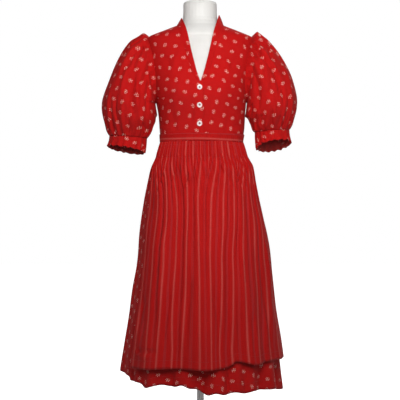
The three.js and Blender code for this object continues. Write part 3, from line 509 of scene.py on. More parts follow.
# Shader building blocks.
class Field:
    """A value in a node tree that adds and multiplies like a number."""

    def __init__(self, socket):
        self.socket = socket

    def __add__(self, other):
        return maths("ADD", self, other)

    def __mul__(self, other):
        return maths("MULTIPLY", self, other)

    def __sub__(self, other):
        return maths("SUBTRACT", self, other)

    def __rsub__(self, other):
        return maths("SUBTRACT", other, self)

    __radd__, __rmul__ = __add__, __mul__


def feed(node, values):
    """Link a node's inputs to fields of its tree, or set them to constants."""
    for key, value in values.items():
        if isinstance(value, Field):
            node.id_data.links.new(value.socket, node.inputs[key])
        else:
            node.inputs[key].default_value = value


def add_node(tree, kind, values=None, **settings):
    made = tree.nodes.new(kind)
    for key, value in settings.items():
        setattr(made, key, value)
    feed(made, values or {})
    return made


def fields(node):
    return {socket.name: Field(socket) for socket in node.outputs if socket.name}


def result(kind, output, values, **settings):
    """One output of a new node, in the tree of the fields that feed it."""
    tree = next(value.socket.id_data for value in values.values() if isinstance(value, Field))
    return Field(add_node(tree, kind, values, **settings).outputs[output])


def maths(operation, *values, clamp=False):
    return result("ShaderNodeMath", 0, dict(enumerate(values)), operation=operation, use_clamp=clamp)


def distance(a, b):
    return maths("SQRT", a * a + b * b)


def step_up(value, low, high):
    """0 below low, 1 above high, smooth between."""
    return result("ShaderNodeMapRange", "Result", {"Value": value, "From Min": low, "From Max": high},
                  interpolation_type="SMOOTHSTEP")


def blend_colour(share, first, second):
    return result("ShaderNodeMix", 2, {0: share, 6: first, 7: second}, data_type="RGBA")


def noise(place, scale, detail, **more):
    return result("ShaderNodeTexNoise", "Fac", {"Vector": place, "Scale": scale, "Detail": detail, **more})


def bump(height, strength, depth):
    return result("ShaderNodeBump", 0, {"Height": height, "Strength": strength, "Distance": depth})


def parts_of(vector):
    return [result("ShaderNodeSeparateXYZ", axis, {"Vector": vector}) for axis in "XYZ"]


def colour(red, green, blue):
    """A colour given as 0 to 255 screen values."""
    def part(value):
        value /= 255
        return value / 12.92 if value <= 0.04045 else ((value + 0.055) / 1.055) ** 2.4
    return (part(red), part(green), part(blue), 1)


def shader_group(name, inputs, outputs, formula):
    """A node group. The formula takes its place and its other inputs, and gives its outputs."""
    group = bpy.data.node_groups.new(name, "ShaderNodeTree")
    group.interface.new_socket("Place", in_out="INPUT", socket_type="NodeSocketVector")
    for label, value in inputs.items():
        group.interface.new_socket(label, in_out="INPUT", socket_type="NodeSocketFloat").default_value = value
    for label in outputs:
        group.interface.new_socket(label, in_out="OUTPUT", socket_type="NodeSocketFloat")
    into, out = group.nodes.new("NodeGroupInput"), group.nodes.new("NodeGroupOutput")
    feed(out, dict(zip(outputs, formula(*fields(into).values()))))
    return group


def place_group(group, values):
    tree = values["Place"].socket.id_data
    return fields(add_node(tree, "ShaderNodeGroup", values, node_tree=group))


def weave_formula(place, threads):
    """Plain weave: warp and weft threads over and under each other."""
    across, along, _ = parts_of(place)
    turns = [across * threads * math.pi, along * threads * math.pi]
    warp, weft = (maths("ABSOLUTE", maths("SINE", one)) * (0.6 + 0.4 * maths("COSINE", other))
                  for one, other in (turns, turns[::-1]))
    height = maths("MAXIMUM", warp, weft)
    drawn_out = result("ShaderNodeVectorMath", 0, {0: place, 1: (60, 420, 1)}, operation="MULTIPLY")
    # Shade is painted shade from the thread height, darker in the grooves between the threads, plus the
    # slub's own uneven tone.
    return height, height * 0.12 + noise(drawn_out, 1.0, 3.0) * 0.3


def wear_formula(place, patch_size):
    """Washed and handled cloth: broad uneven fading and fine fuzz."""
    return step_up(noise(place, patch_size, 4.0, Roughness=0.6), 0.3, 0.75), noise(place, 900.0, 2.0)


# One sprig, in millimetres: middle, half sizes, tilt in degrees, and which tint it takes.
SPRIG = table("x y halfX halfY tilt tint", [
    [-5.6, 0.8, 2.0, 0.95, 60, 0], [-2.2, 3.6, 1.9, 0.9, 35, 0], [0.1, -0.5, 1.6, 1.1, -40, 1],
    [3.7, 2.6, 2.1, 1.0, 65, 0], [5.8, -1.8, 1.5, 0.9, 15, 0], [-2.9, -3.7, 1.8, 0.9, 20, 2],
    [2.3, -4.4, 1.7, 0.9, -50, 0],
])
SPRIG_PITCH = 36.0
SPRIG_SLANT = math.radians(16)


def print_formula(place, softness):
    """Small sprigs in slanting rows, each turned and moved a little."""
    across, along, _ = parts_of(place)
    slant_c, slant_s = (turn(SPRIG_SLANT) / (SPRIG_PITCH * 0.001) for turn in (math.cos, math.sin))
    down = along * slant_c + across * slant_s
    over = across * slant_c - along * slant_s
    row, column = maths("FLOOR", down), maths("FLOOR", over)
    cell = result("ShaderNodeCombineXYZ", 0, {"X": column, "Y": row})
    chance = result("ShaderNodeTexWhiteNoise", "Color", {"Vector": cell}, noise_dimensions="2D")
    red, green, blue = (result("ShaderNodeSeparateColor", k, {"Color": chance}) for k in range(3))
    x, y = ((value - cells - 0.5 + (shift - 0.5) * 0.16) * SPRIG_PITCH
            for value, cells, shift in ((over, column, red), (down, row, green)))
    cosine, sine = maths("COSINE", blue * math.tau), maths("SINE", blue * math.tau)
    turned_x, turned_y = x * cosine - y * sine, x * sine + y * cosine
    inner, outer = 1 - softness, 1 + softness
    masks = {}
    for cx, cy, half_x, half_y, tilt, tint in zip(*SPRIG.values()):
        c, s = math.cos(math.radians(tilt)), math.sin(math.radians(tilt))
        dx, dy = turned_x - cx, turned_y - cy
        reach = distance(dx * (c / half_x) + dy * (s / half_x), dx * (-s / half_y) + dy * (c / half_y))
        mask = 1 - step_up(reach, inner, outer)
        masks[tint] = maths("MAXIMUM", masks[tint], mask) if tint in masks else mask
    return masks[0], masks[1], masks[2]


BEAD_PITCH = 0.0032


def stripes_formula(place):
    """Woven stripes: a pale ladder of beads, and midway a soft wine band with pale edges."""
    across, along, _ = parts_of(place)
    across = maths("FRACT", maths("DIVIDE", across, STRIPE_REPEAT * 0.001)) * STRIPE_REPEAT

    def band(middle, half, soft):
        return 1 - step_up(maths("ABSOLUTE", across - middle), half - soft, half + soft)

    beat = maths("SINE", along * (math.pi / BEAD_PITCH))
    ladder = band(9.5, 2.1, 0.5) * (0.3 + step_up(beat * beat, 0.15, 0.7) * 0.7)
    rails = maths("MAXIMUM", band(6.1, 0.5, 0.35), band(12.9, 0.5, 0.35)) * 0.3
    edges = maths("MAXIMUM", band(25.6, 0.45, 0.3), band(31.4, 0.45, 0.3))
    return maths("MAXIMUM", ladder, rails), maths("MAXIMUM", band(28.5, 3.0, 1.2) * 0.7, edges)


def surface_formula(place, grain):
    """Moulded or painted surface: faint waviness and small scuffs."""
    return noise(place, grain, 3.0), step_up(noise(place, 14.0, 6.0), 0.45, 0.8)


WEAVE = shader_group("plain weave", {"Threads per metre": 1800.0}, ("Height", "Shade"), weave_formula)
WEAR = shader_group("washed cloth", {"Patch size": 9.0}, ("Fade", "Fuzz"), wear_formula)
PRINT = shader_group("sprig print", {"Softness": 0.25}, ("Petals", "Hearts", "Leaves"), print_formula)
STRIPES = shader_group("woven stripes", {}, ("Pale", "Wine"), stripes_formula)
SURFACE = shader_group("handled surface", {"Grain": 300.0}, ("Height", "Scuff"), surface_formula)
# What is laid over the ground colour: a mask, how strongly, and its colour.
SPRIG_LAYERS = (("Leaves", 0.8, colour(206, 162, 124)), ("Petals", 0.95, colour(250, 186, 178)),
                ("Hearts", 0.95, colour(252, 222, 204)))
STRIPE_LAYERS = (("Wine", 0.6, colour(164, 46, 50)), ("Pale", 0.52, colour(210, 104, 96)))


def new_material(name):
    made = bpy.data.materials.new(name)
    made.use_nodes = True
    shader = next(n for n in made.node_tree.nodes if n.type == "BSDF_PRINCIPLED")
    return made, shader, Field(add_node(made.node_tree, "ShaderNodeTexCoord").outputs["Object"])


def cotton(name, ground, strength, striped):
    made, shader, place = new_material(name)
    cloth = Field(add_node(made.node_tree, "ShaderNodeUVMap", uv_map="cloth").outputs[0])
    weave = place_group(WEAVE, {"Place": cloth, "Threads per metre": 1700.0})
    wear = place_group(WEAR, {"Place": place, "Patch size": 9.0})
    if striped:
        marks, layers = place_group(STRIPES, {"Place": cloth}), STRIPE_LAYERS
    else:
        marks, layers = place_group(PRINT, {"Place": cloth, "Softness": 0.18}), SPRIG_LAYERS
    base = ground
    for label, share, tone in layers:
        base = blend_colour(marks[label] * (share * strength), base, tone)
    faded = blend_colour(wear["Fade"] * 0.08, base, colour(190, 44, 40))
    # The colour is scaled by the weave's Shade: painted shade in the thread grooves and the slub's real
    # uneven tone.
    shaded = result("ShaderNodeVectorMath", 0, {0: faded, 3: 0.78 + weave["Shade"]}, operation="SCALE")
    feed(shader, {
        "Base Color": shaded, "Roughness": maths("ADD", 0.78, wear["Fuzz"] * 0.18, clamp=True),
        "Normal": bump(weave["Height"], 0.5, 0.0002), "Specular IOR Level": 0.12,
        "Sheen Weight": 0.03, "Sheen Roughness": 0.45, "Sheen Tint": colour(255, 150, 140)})
    return made


def smooth_white(name, tone, rough, grain, coat):
    made, shader, place = new_material(name)
    surface = place_group(SURFACE, {"Place": place, "Grain": grain})
    feed(shader, {
        "Base Color": blend_colour(surface["Scuff"] * 0.25, tone, colour(184, 182, 176)),
        "Roughness": rough + surface["Scuff"] * 0.15, "Normal": bump(surface["Height"], 0.25, 0.0003),
        "Coat Weight": coat, "Coat Roughness": 0.25})
    return made


def pearl_material():
    made, shader, place = new_material("pearl_button")
    surface = place_group(SURFACE, {"Place": place, "Grain": 700.0})
    cloud = noise(place, 260.0, 3.0, Distortion=1.5)
    nacre = blend_colour(step_up(cloud, 0.35, 0.65), colour(240, 214, 203), colour(233, 226, 232))
    across, _, height = parts_of(place)
    reach = None
    for middle in BUTTON_HEIGHTS:
        away = distance(across - BUTTON_X * 0.001, height - middle * 0.001)
        reach = away if reach is None else maths("MINIMUM", reach, away)
    # Each button is darker in its middle, out to about 4 mm from its centre.
    dark_middle = 1 - step_up(reach, 0.0022, 0.0044)
    feed(shader, {
        "Base Color": blend_colour(dark_middle * 0.85, nacre, colour(74, 62, 58)),
        "Roughness": 0.16 + surface["Scuff"] * 0.2, "Coat Weight": 0.6, "Coat Roughness": 0.08})
    return made


def thread_material():
    made, shader, place = new_material("sewing_thread")
    twist = result("ShaderNodeTexWave", "Fac", {"Vector": place, "Scale": 1600.0, "Distortion": 2.0})
    feed(shader, {"Base Color": blend_colour(twist, colour(140, 14, 14), colour(172, 26, 24)),
                  "Normal": bump(twist, 0.4, 0.0001), "Roughness": 0.6})
    return made


# Slot, outer side and inner side of each cloth.
FLORAL = ("floral_cotton", cotton("floral_cotton", colour(180, 12, 11), 1.0, False),
          cotton("floral_cotton_reverse", colour(160, 42, 38), 0.35, False))
STRIPED = ("striped_cotton", cotton("striped_cotton", colour(174, 11, 10), 1.0, True),
           cotton("striped_cotton_reverse", colour(164, 30, 28), 0.85, True))
THREAD = thread_material()


# Bodice.
def bodice_row(row):
    """Height at the side and share of the shoulder's rise, at a row that counts from the shoulder."""
    return [np.interp(row, range(len(values)), values) for values in BODICE_ROWS.values()]


def lap_lift(x, z):
    return BUTTON_LAP * ease((35 + x) / 20) * (1 - ease((z - 1203) / 22))


def front_point(sign, row, share, out):
    """A place on the bodice front: row counts down from the shoulder, share goes to the opening."""
    row, share = np.broadcast_arrays(np.asarray(row, float), np.asarray(share, float))
    side_z, rise = bodice_row(row)
    side_angle = sign * (90 - armhole_reach(side_z, False))
    edge_z = BODICE_ROWS["side"] + (NECK_SIDE - SHOULDER_END) * BODICE_ROWS["rise"]
    edges = np.where(BODICE_ROWS["side"] < 1199, -12, smooth(*NECK_SEAM.values(), edge_z))
    edge = sign * np.interp(row, range(len(edges)), edges)
    z = side_z + (shoulder_height(mix(SHOULDER_X, NECK_X, share)) - SHOULDER_END) * rise
    straight = mix(body(side_angle, side_z)[..., 0], edge, share)
    curved = body(mix(side_angle, angle_at(edge, side_z, False), share), side_z)[..., 0]
    x = mix(curved, straight, ease(rise / 0.3))
    angle = np.where(share == 0, side_angle, angle_at(x, z, False))
    angle = np.where(sign * angle > SIDE_SEAM, sign * SIDE_SEAM, angle)
    return offset(angle, z, out + (lap_lift(x, z) if sign < 0 else 0))


def back_point(row, share, even, out):
    """A place on the bodice back: share and even run from 1 at +X to -1, unevenly and evenly."""
    row, share, even = np.broadcast_arrays(*(np.asarray(v, float) for v in (row, share, even)))
    side_z, rise = bodice_row(row)
    sign = np.where(share < 0, -1, 1)
    side_angle = 90 + armhole_reach(side_z, True)
    z = side_z + (back_top(np.abs(share) * SHOULDER_X) - SHOULDER_END) * rise
    straight = mix(measures(side_z)[3], body(sign * side_angle, side_z)[..., 0], np.abs(share))
    curved = body(180 - sign * (180 - side_angle) * even, side_z)[..., 0]
    x = mix(curved, straight, ease(rise / 0.3))
    angle = np.where(np.abs(share) == 1, sign * side_angle, angle_at(x, z, True)) % 360
    return offset(np.clip(angle, 180 - SIDE_SEAM, 180 + SIDE_SEAM), z, out)


def bodice_flat(points):
    """Flat place on a bodice panel: along each row from the opening or the middle of the back,
    which are its column 60, and up the cloth."""
    step = np.diff(points, axis=1)
    across = np.cumsum(np.hypot(step[..., 0], step[..., 1] * 0.9), axis=1)
    across = np.concatenate([np.zeros((len(points), 1)), across], 1)
    facing = np.sign(points[0, -1, 0] - points[0, 0, 0])
    across = (across - across[:, 60:61]) * facing + points[:, 60:61, 0]
    rise = np.diff(points[::-1], axis=0)
    up = np.cumsum(np.hypot(rise[..., 1], rise[..., 2]), axis=0)
    up = np.concatenate([np.zeros((1, points.shape[1])), up], 0)[::-1]
    return np.stack([across, up], -1)


def bodice_front(side, sign):
    row, share = grid((0, 16), 97, (0, 1), 61)
    bare = front_point(sign, row, share, 0 * row)
    x, z = bare[..., 0], bare[..., 2]
    rest = ease(share / 0.12) * ease((1 - share) / 0.1 + 0.25)
    lift = (1.3 * creases(BODICE_FRONT_FOLDS, x, z) + slack(x, z, 3, 95, 0.9)) * rest
    lift = lift + 0.9 * gathers(np.abs(x) / 150, 17, 5) * np.exp(-((z - WAIST) / 12) ** 2) * rest
    points = front_point(sign, row, share, np.maximum(lift, -2.6))
    make_cloth(f"bodice_front_{side}", points, bodice_flat(points), FLORAL)


def bodice_back():
    row, place = grid((0, 16), 97, (0, 18), 121)
    share = np.interp(place, range(19), BACK_SHARES)
    even = np.interp(place, range(19), np.abs(np.arange(19) - 9) / 9)
    bare = back_point(row, share, even, 0 * row)
    x, z = bare[..., 0], bare[..., 2]
    rest = ease((1 - np.abs(share)) / 0.12)
    lift = (creases(BODICE_BACK_FOLDS, x, z) + slack(x, z, 8, 110, 0.7)) * rest
    points = back_point(row, share, even, np.maximum(lift, -2.4))
    make_cloth("bodice_back", points, bodice_flat(points), FLORAL)


def neck_points(sign, point_rise):
    """Middle of the neckband's cloth: its seam, then its free edge, over a fine grid."""
    inward = np.array(-HALF_WALL)
    seam = [front_point(sign, float(i), 1.0, inward) for i in range(9, -1, -1)]
    for k in range(5, 10):
        at = k if sign > 0 else 18 - k
        seam.append(back_point(0.0, BACK_SHARES[at], abs(at - 9) / 9, inward))
    starts, edges = [], []
    for start, x, y, z, point in zip(seam, *NECK_EDGE.values()):
        lap = lap_lift(-x, z) if sign < 0 else 0
        edge = np.array([sign * x, y - lap, z + point_rise * point])
        away = edge - start
        starts.append(start - away / np.linalg.norm(away) * 1.4)
        edges.append(edge)
    starts[-1][0] = sign * 0.2
    place = np.linspace(0, 14, 169)
    start, edge = smooth(range(15), starts, place), smooth(range(15), edges, place)
    share = np.linspace(0, 1, 13)[None, :, None]
    points = mix(start[:, None], edge[:, None], share)
    points[..., 2] += 1.5 * np.sin(np.pi * share[..., 0]) * ease((place - 6) / 1.0)[:, None]
    return points


def neckband(side, sign, point_rise):
    points = neck_points(sign, point_rise)
    out = normals(points, False)
    if (out[:60] * np.array([0, -1, 0])).sum() < 0:
        out = -out
    along = lengths(points, 0)
    share = np.linspace(0, 1, 13)[None, :]
    roll = 1.5 + 0.2 * np.sin(np.pi * share) + slack(along, share * 16, 21 + sign, 45, 0.3)
    foot = 1 - ease((along[:, :1] - 1.5) / 6)
    points = points + out * (roll - 3.4 * foot)[..., None]
    points[..., 2] -= 4.5 * foot
    flat = np.stack([lengths(points, 1) + (11 if sign > 0 else 3), along], -1)
    make_cloth(f"neckband_{side}", points, flat, FLORAL)


# Sleeves and cuffs.
def sleeve_forward(z):
    """How far the sleeve's middle lies in front of the shoulder."""
    return 12 * ease((1300 - z) / 250)


def ring_point(row, sign, turn, push):
    """A point of a sleeve or cuff, at a turn round the ring that its row gives."""
    out = np.stack([sign * row["outX"], 0 * row["outX"], row["outZ"]], -1)
    inner = np.stack([sign * row["inX"], 0 * row["outX"], row["inZ"]], -1)
    centre, axis = (out + inner) / 2, out - inner
    reach = np.linalg.norm(axis, axis=-1, keepdims=True) / 2
    axis = axis / (2 * reach)
    depth = np.where(np.sin(turn) > 0, row["front"], row["back"])
    point = centre + axis * (reach + push[..., None]) * np.cos(turn)[..., None]
    point[..., 1] = -sleeve_forward(centre[..., 2]) - (depth + push) * np.sin(turn)
    return point


def armhole_ring(sign, turn):
    z = (SHOULDER_END + UNDERARM) / 2 + 104.6 * np.cos(turn)
    behind = np.sin(turn) < 0
    angle = 90 - np.where(behind, armhole_reach(z, True), armhole_reach(z, False))
    point = offset(sign * np.where(behind, 180 - angle, angle), z, -2.0 + 0 * z)
    point[..., 0] -= sign * 1.5
    return point


def sleeve_flat(side, sign, points):
    """Place on the cut sleeve, round the arm from the front and up over the puff, and its girth."""
    rows, z = SLEEVES[side], points[..., 2]
    outer = np.interp(-z, -rows["outZ"], rows["outX"])
    inner = np.interp(-z, -rows["inZ"], rows["inX"])
    half, depth = np.maximum((outer - inner) / 2, 18), np.interp(z, *PUFF.values())
    turn = np.unwrap(np.arctan2((points[..., 0] - sign * (outer + inner) / 2) / half,
                                -(points[..., 1] + sleeve_forward(z)) / depth), axis=1)
    turn = turn - 2 * np.pi * np.round(turn[:, 60:61] / (2 * np.pi))

    def radius(turns):
        return np.hypot(half[..., None] * np.cos(turns), depth[..., None] * np.sin(turns)).mean(-1)

    round_it = radius(turn[..., None] * ((np.arange(24) + 0.5) / 24)) * turn
    girth = radius(np.linspace(0, math.tau, 48, endpoint=False)) * math.tau
    fine = np.linspace(1010, 1380, 371)
    climb = np.interp(z, fine, np.cumsum(np.hypot(1, np.gradient(np.interp(fine, *PUFF.values())))))
    return np.stack([round_it, climb], -1), girth


def sleeve(side, sign):
    columns = 240
    place, turn = grid((0, 9), 85, (0, math.tau), columns, closed=True)
    cap, share = ease((1 + np.cos(turn)) / 1.6), turn / math.tau
    along = place / 9 * SLEEVE_LENGTH
    degrees = (np.degrees(turn) + 180) % 360 - 180
    push = 1.1 * round_creases(SLEEVE_FOLDS[side], degrees, along, SLEEVE_MM)
    fading = ease(along / 25) * (1 - ease((along - 30) / 80))
    push = push + 2.2 * gathers(share, 30, 40 + sign) * (0.35 + 0.65 * cap) * fading
    fading = ease((along - 235) / 70) * (1 - 0.7 * ease((along - 312) / 18))
    push = push + 2.0 * gathers(share, 26, 50 + sign) * fading
    push = push + slack(degrees * SLEEVE_MM, along, 60 + sign, 120, 1.5)
    # The inner side swells towards the body, down to a place that differs between the sleeves.
    low = 165 if sign < 0 else 215
    inner_side = np.exp(-((np.degrees(turn) - 180) / 34) ** 2)
    push = push + 10 * inner_side * ease((along - 40) / 40) * ease((low - along) / 80)
    push = push * ease(place / 0.7)
    row, rim = rows_at(SLEEVES[side], np.maximum(place - 1, 0)), armhole_ring(sign, turn)
    blend = np.clip(place, 0, 1)[..., None]
    bare, points = (mix(rim, ring_point(row, sign, turn, out), blend) for out in (0 * push, push))
    points[..., 2] += 5 * np.sin(np.pi * blend[..., 0] ** 0.6) * np.clip(np.cos(turn), 0, 1)
    flat, girth = sleeve_flat(side, sign, closed_up(bare))
    shift = -sign * girth[:, :columns] * (np.arange(columns) >= columns // 2)
    make_cloth(f"sleeve_{side}", half_wall_out(points), flat, FLORAL, closed=True, shift=shift)


def cuff(side, sign):
    place, turn = grid((0, 3), 25, (0, math.tau), 256, closed=True)
    row, share = rows_at(CUFFS[side], place), turn / math.tau
    push = row["wave"] * gathers(share, 16, 70 + sign)
    push = push + 0.8 * gathers(share, 34, 75 + sign) * ease((1.2 - place) / 1.2)
    points = ring_point(row, sign, turn, push)
    scallop = 2.2 * gathers(share, 16, 80 + sign) * ease((place - 1.5) / 1.5)
    points[..., 2] += scallop + row["tip"] * np.sin(turn)
    points = half_wall_out(points)
    make_cloth(f"cuff_{side}", points, loop_place(points), FLORAL, closed=True)


# Skirt and apron.
def fold_height(folds, angle):
    away = (np.asarray(angle, float)[..., None] - folds["angle"] + 180) % 360 - 180
    return (folds["height"] * np.exp(-(away / folds["spread"]) ** 2)).sum(-1)


def skirt_lift(angle, z):
    drop = np.clip((WAIST - 60 - z) / 740, 0, 1)
    return (fold_height(SKIRT_FOLDS, angle) - 8) * drop ** 0.8


def apron_lift(angle, z):
    drop = np.clip((900 - z) / 600, 0, 1)
    own = fold_height(APRON_FOLDS, angle) * drop ** 0.9
    under = np.maximum(np.maximum(skirt_lift(angle - 3, z), skirt_lift(angle, z)), skirt_lift(angle + 3, z))
    return np.maximum(own, under) + APRON_CLEARANCE


def pleats(share):
    """Fine pleats of the smocking, across the apron's top."""
    return 1.5 + 2.0 * gathers(share, SMOCK_PLEATS, 33, 0.8)


def skirt():
    columns = 480
    fall, angle = grid((0, 1), 88, (-120, 240), columns, closed=True)
    around = (angle + 95) % 360 - 95
    z = mix(WAIST - 0.175, smooth(*HEM.values(), around) + smooth(*HEM_STEPS.values(), around), fall)
    under_apron = ease((angle + 86) / 14) * ease((103 - angle) / 12)
    bare = 1 - under_apron * ease((z - 280) / 60)
    below = np.clip((WAIST - 11 - z) / 30, 0, 1)
    ripple = mix(5.0, 1.2, under_apron) * gathers((angle + 120) / 360, 58, 11) + 1.2
    lift = skirt_lift(angle, z) + ripple * below * (1 - ease((WAIST - 60 - z) / 210))
    for turn in (0, -360):
        lift = lift + round_creases(SKIRT_CREASES, angle, z, BODY_MM, turn) * bare
    lift = lift + slack(angle * BODY_MM, z, 12, 160, 1.6) * bare * below
    points = offset(angle, z, lift)
    flat = loop_place(points)
    gore = columns // GORES
    number = np.arange(columns) // gore
    shift = flat[:, number * gore + gore // 2, 0] - number * GORE_STEP
    make_cloth("skirt", points, flat, FLORAL, closed=True, shift=shift)
    return points


def apron_marks(z):
    """Angles of the apron's stripe marks at a height."""
    return [smooth(list(STRIPE_HEIGHTS.values()), values, z)
            for values in zip(*(STRIPE_RUNS[name] for name in STRIPE_HEIGHTS))]


def apron_repeats(angle, z, marks):
    """How many stripe repeats lie between the apron's edge and a place on it."""
    total, opened = 0, ease((SMOCK_BOTTOM - z) / 75)
    for i, (start, end) in enumerate(zip(marks, marks[1:])):
        hidden = STRIPE_RUNS["hidden"][i]
        shown = STRIPE_RUNS["repeats"][i + 1] - STRIPE_RUNS["repeats"][i] - hidden
        share = np.clip((angle - start) / (end - start), 0, 1)
        total = total + shown * share + hidden * mix(share, ease((share - 0.5) / 0.1 + 0.5), opened)
    return total


def apron_folds(angle, z, marks):
    """The folds that hide cloth below the smocking, a trough in each gap between pale stripes."""
    total = 0
    half = mix(5.0, 8.0, ease((900 - z) / 400)) / BODY_MM
    fading = mix(1.0, 0.8, ease((850 - z) / 260))
    for start, end, depth, foot in zip(marks, marks[1:], STRIPE_RUNS["depth"], STRIPE_RUNS["end"]):
        shown = ease((948 - z) / 45) * ease((z - foot) / 160) * fading
        away = angle - (start + end) / 2
        total = total + depth * shown * (0.3 - np.exp(-(away / half) ** 2)) * (np.abs(away) < 14)
    return total


def apron_skirt():
    fall, share = grid((0, 1), 86, (0, 1), 560)
    fall = fall ** 1.15
    angle = mix(apron_marks(mix(SMOCK_BOTTOM, 300, fall))[0], APRON_END, share)
    z = mix(SMOCK_BOTTOM, smooth(*APRON_HEM.values(), angle), fall)
    marks = apron_marks(z)
    lift = mix(APRON_CLEARANCE, apron_lift(angle, z), ease(fall * 30)) + HALF_WALL
    lift = lift + pleats(share) * (1 - ease(fall / 0.09))
    lift = lift + (2.5 * gathers(share, 40, 31) + 1.6) * ease(fall * 22) * (1 - ease((fall - 0.04) / 0.22))
    lift = lift + apron_folds(angle, z, marks)
    lift = lift + 1.25 * round_creases(APRON_CREASES, angle, z, BODY_MM)
    lift = lift + slack(angle * BODY_MM, z, 32, 150, 1.3) * ease(fall * 5)
    points = offset(angle, z, np.maximum(lift, 1.6 + skirt_lift(angle, z)))
    flat = np.stack([apron_repeats(angle, z, marks) * STRIPE_REPEAT, -lengths(points, 0)], -1)
    make_cloth("apron_skirt", points, flat, STRIPED)
    return points


def smocked_band():
    """The smocking, which laps a little under the apron skirt's top row."""
    place, share = grid((0, 1), 15, (0, 1), SMOCK_PLEATS * 9 + 1)
    z = mix(BAND_BOTTOM - 0.35, SMOCK_BOTTOM - 1.5, place)
    lift = mix(1.9, APRON_CLEARANCE, ease((BAND_BOTTOM - z) / 40)) + HALF_WALL
    lift = lift + pleats(share) * (0.5 + 0.5 * ease(place / 0.2)) - 0.8 * ease((place - 0.85) / 0.15)
    points = offset(mix(APRON_START, APRON_END, share), z, lift)
    tucked = 3.6 * np.sin(math.tau * SMOCK_PLEATS * share) * (1 - ease((place - 0.7) / 0.3))
    flat = np.stack([share * APRON_REPEATS * STRIPE_REPEAT + tucked, SMOCK_LENGTH * (1 - place)], -1)
    make_cloth("apron_smocking", points, flat, STRIPED)
    return points


def waist_strip(node, start, end, top, bottom, seed):
    """A strip of the apron's cloth laid round the waist, cut so that a wine band runs along it."""
    share, angle = grid((0, 1), 13, (start, end), int(abs(end - start) * 2.2))
    z = mix(top, bottom, share) + 0.5 * np.sin(np.radians(angle * 5 + seed * 40))
    over_lap = BUTTON_LAP * ease((26 - np.abs(angle)) / 9)
    pull = slack(angle * 2.4, z, seed, 22, 0.45) + 0.35 * gathers((angle - start) / (end - start), 46, seed)
    lift = 2.7 + over_lap + (pull + 0.5 * np.sin(np.pi * share)) * np.sin(np.pi * share) ** 0.5
    points = offset(angle, z, lift)
    tilt = np.interp(angle, [-76, 0, 93], [2.2, 0, -4.6])
    flat = np.stack([share * STRIP_WIDTH + STRIP_STRIPE + tilt, lengths(points, 1)], -1)
    make_cloth(node, points, flat, STRIPED)
    return points


# Ties and bow.
BOW_X, BOW_Y = 4, 103.9
LOOP = table("x y z half", [
    [9.8, 103, 1022, 7], [30, 108, 1023, 13], [58, 113, 1021, 17], [80, 118, 1017, 17], [89, 123, 1013, 16],
    [80, 129, 1010, 17], [56, 127, 1013, 17], [30, 121, 1018, 13], [9.6, 107.5, 1021, 7],
])
TAIL = table("out z half off", [
    [8, 1006.9, 6, 11], [13, 985, 11, 11], [18, 940, 13, 9], [24, 880, 13, 7], [30, 815, 13, 7],
    [35, 745, 13, 7],
])
KNOT = table("x y z", [
    [6, 6, 1034], [8.6, 8.2, 1031], [9.3, 8.8, 1022], [8.6, 8.2, 1013], [6.5, 6.2, 1009.2],
])


def bow_loop(side, sign):
    share, place = grid((-1, 1), 13, (0, 8), 97)
    share, place = share.T, place.T
    row = rows_at(LOOP, place)
    pinch = 1.8 * np.cos(share * 5.4 + 0.6) * ease((45 - row["x"]) / 35)
    points = np.stack([BOW_X + sign * row["x"], row["y"] + pinch, row["z"] + row["half"] * share], -1)
    make_cloth(f"bow_loop_{side}", points, sheet_place(points, 2), STRIPED, turned=False)


def bow_tail(side, sign):
    place, share = grid((0, 5), 81, (-1, 1), 15)
    row = rows_at(TAIL, place)
    z = row["z"]
    angle = angle_at(BOW_X + sign * row["out"] + share * row["half"], z, True)
    reach = np.maximum(np.maximum(skirt_lift(angle - 4, z), skirt_lift(angle + 4, z)), 0)
    fold = 2.2 * np.cos(share * 3.4 + sign) * (1 - ease(place / 4.5)) + 1.2 * np.sin(place * 2.1 + sign)
    points = offset(angle, z, reach + row["off"] + fold + 1)
    make_cloth(f"bow_tail_{side}", points, sheet_place(points, 2), STRIPED)


def bow_knot():
    place, turn = grid((0, 4), 25, (0, math.tau), 48, closed=True)
    row = rows_at(KNOT, place)
    ridge = 0.5 * np.cos(turn * 2 + place * 2.4) + 0.35 * np.cos(place * 6 + turn)
    points = np.stack([BOW_X + (row["x"] + ridge) * np.sin(turn), BOW_Y - (row["y"] + ridge) * np.cos(turn),
                       row["z"]], -1)
    make_cloth("bow_knot", points, loop_place(points)[..., ::-1], STRIPED, closed=True)


# Stitches, set along lines on the cloth.
STITCH = {"Pitch": 0.0034, "Stitch length": 0.0025, "Thread radius": 0.0003}


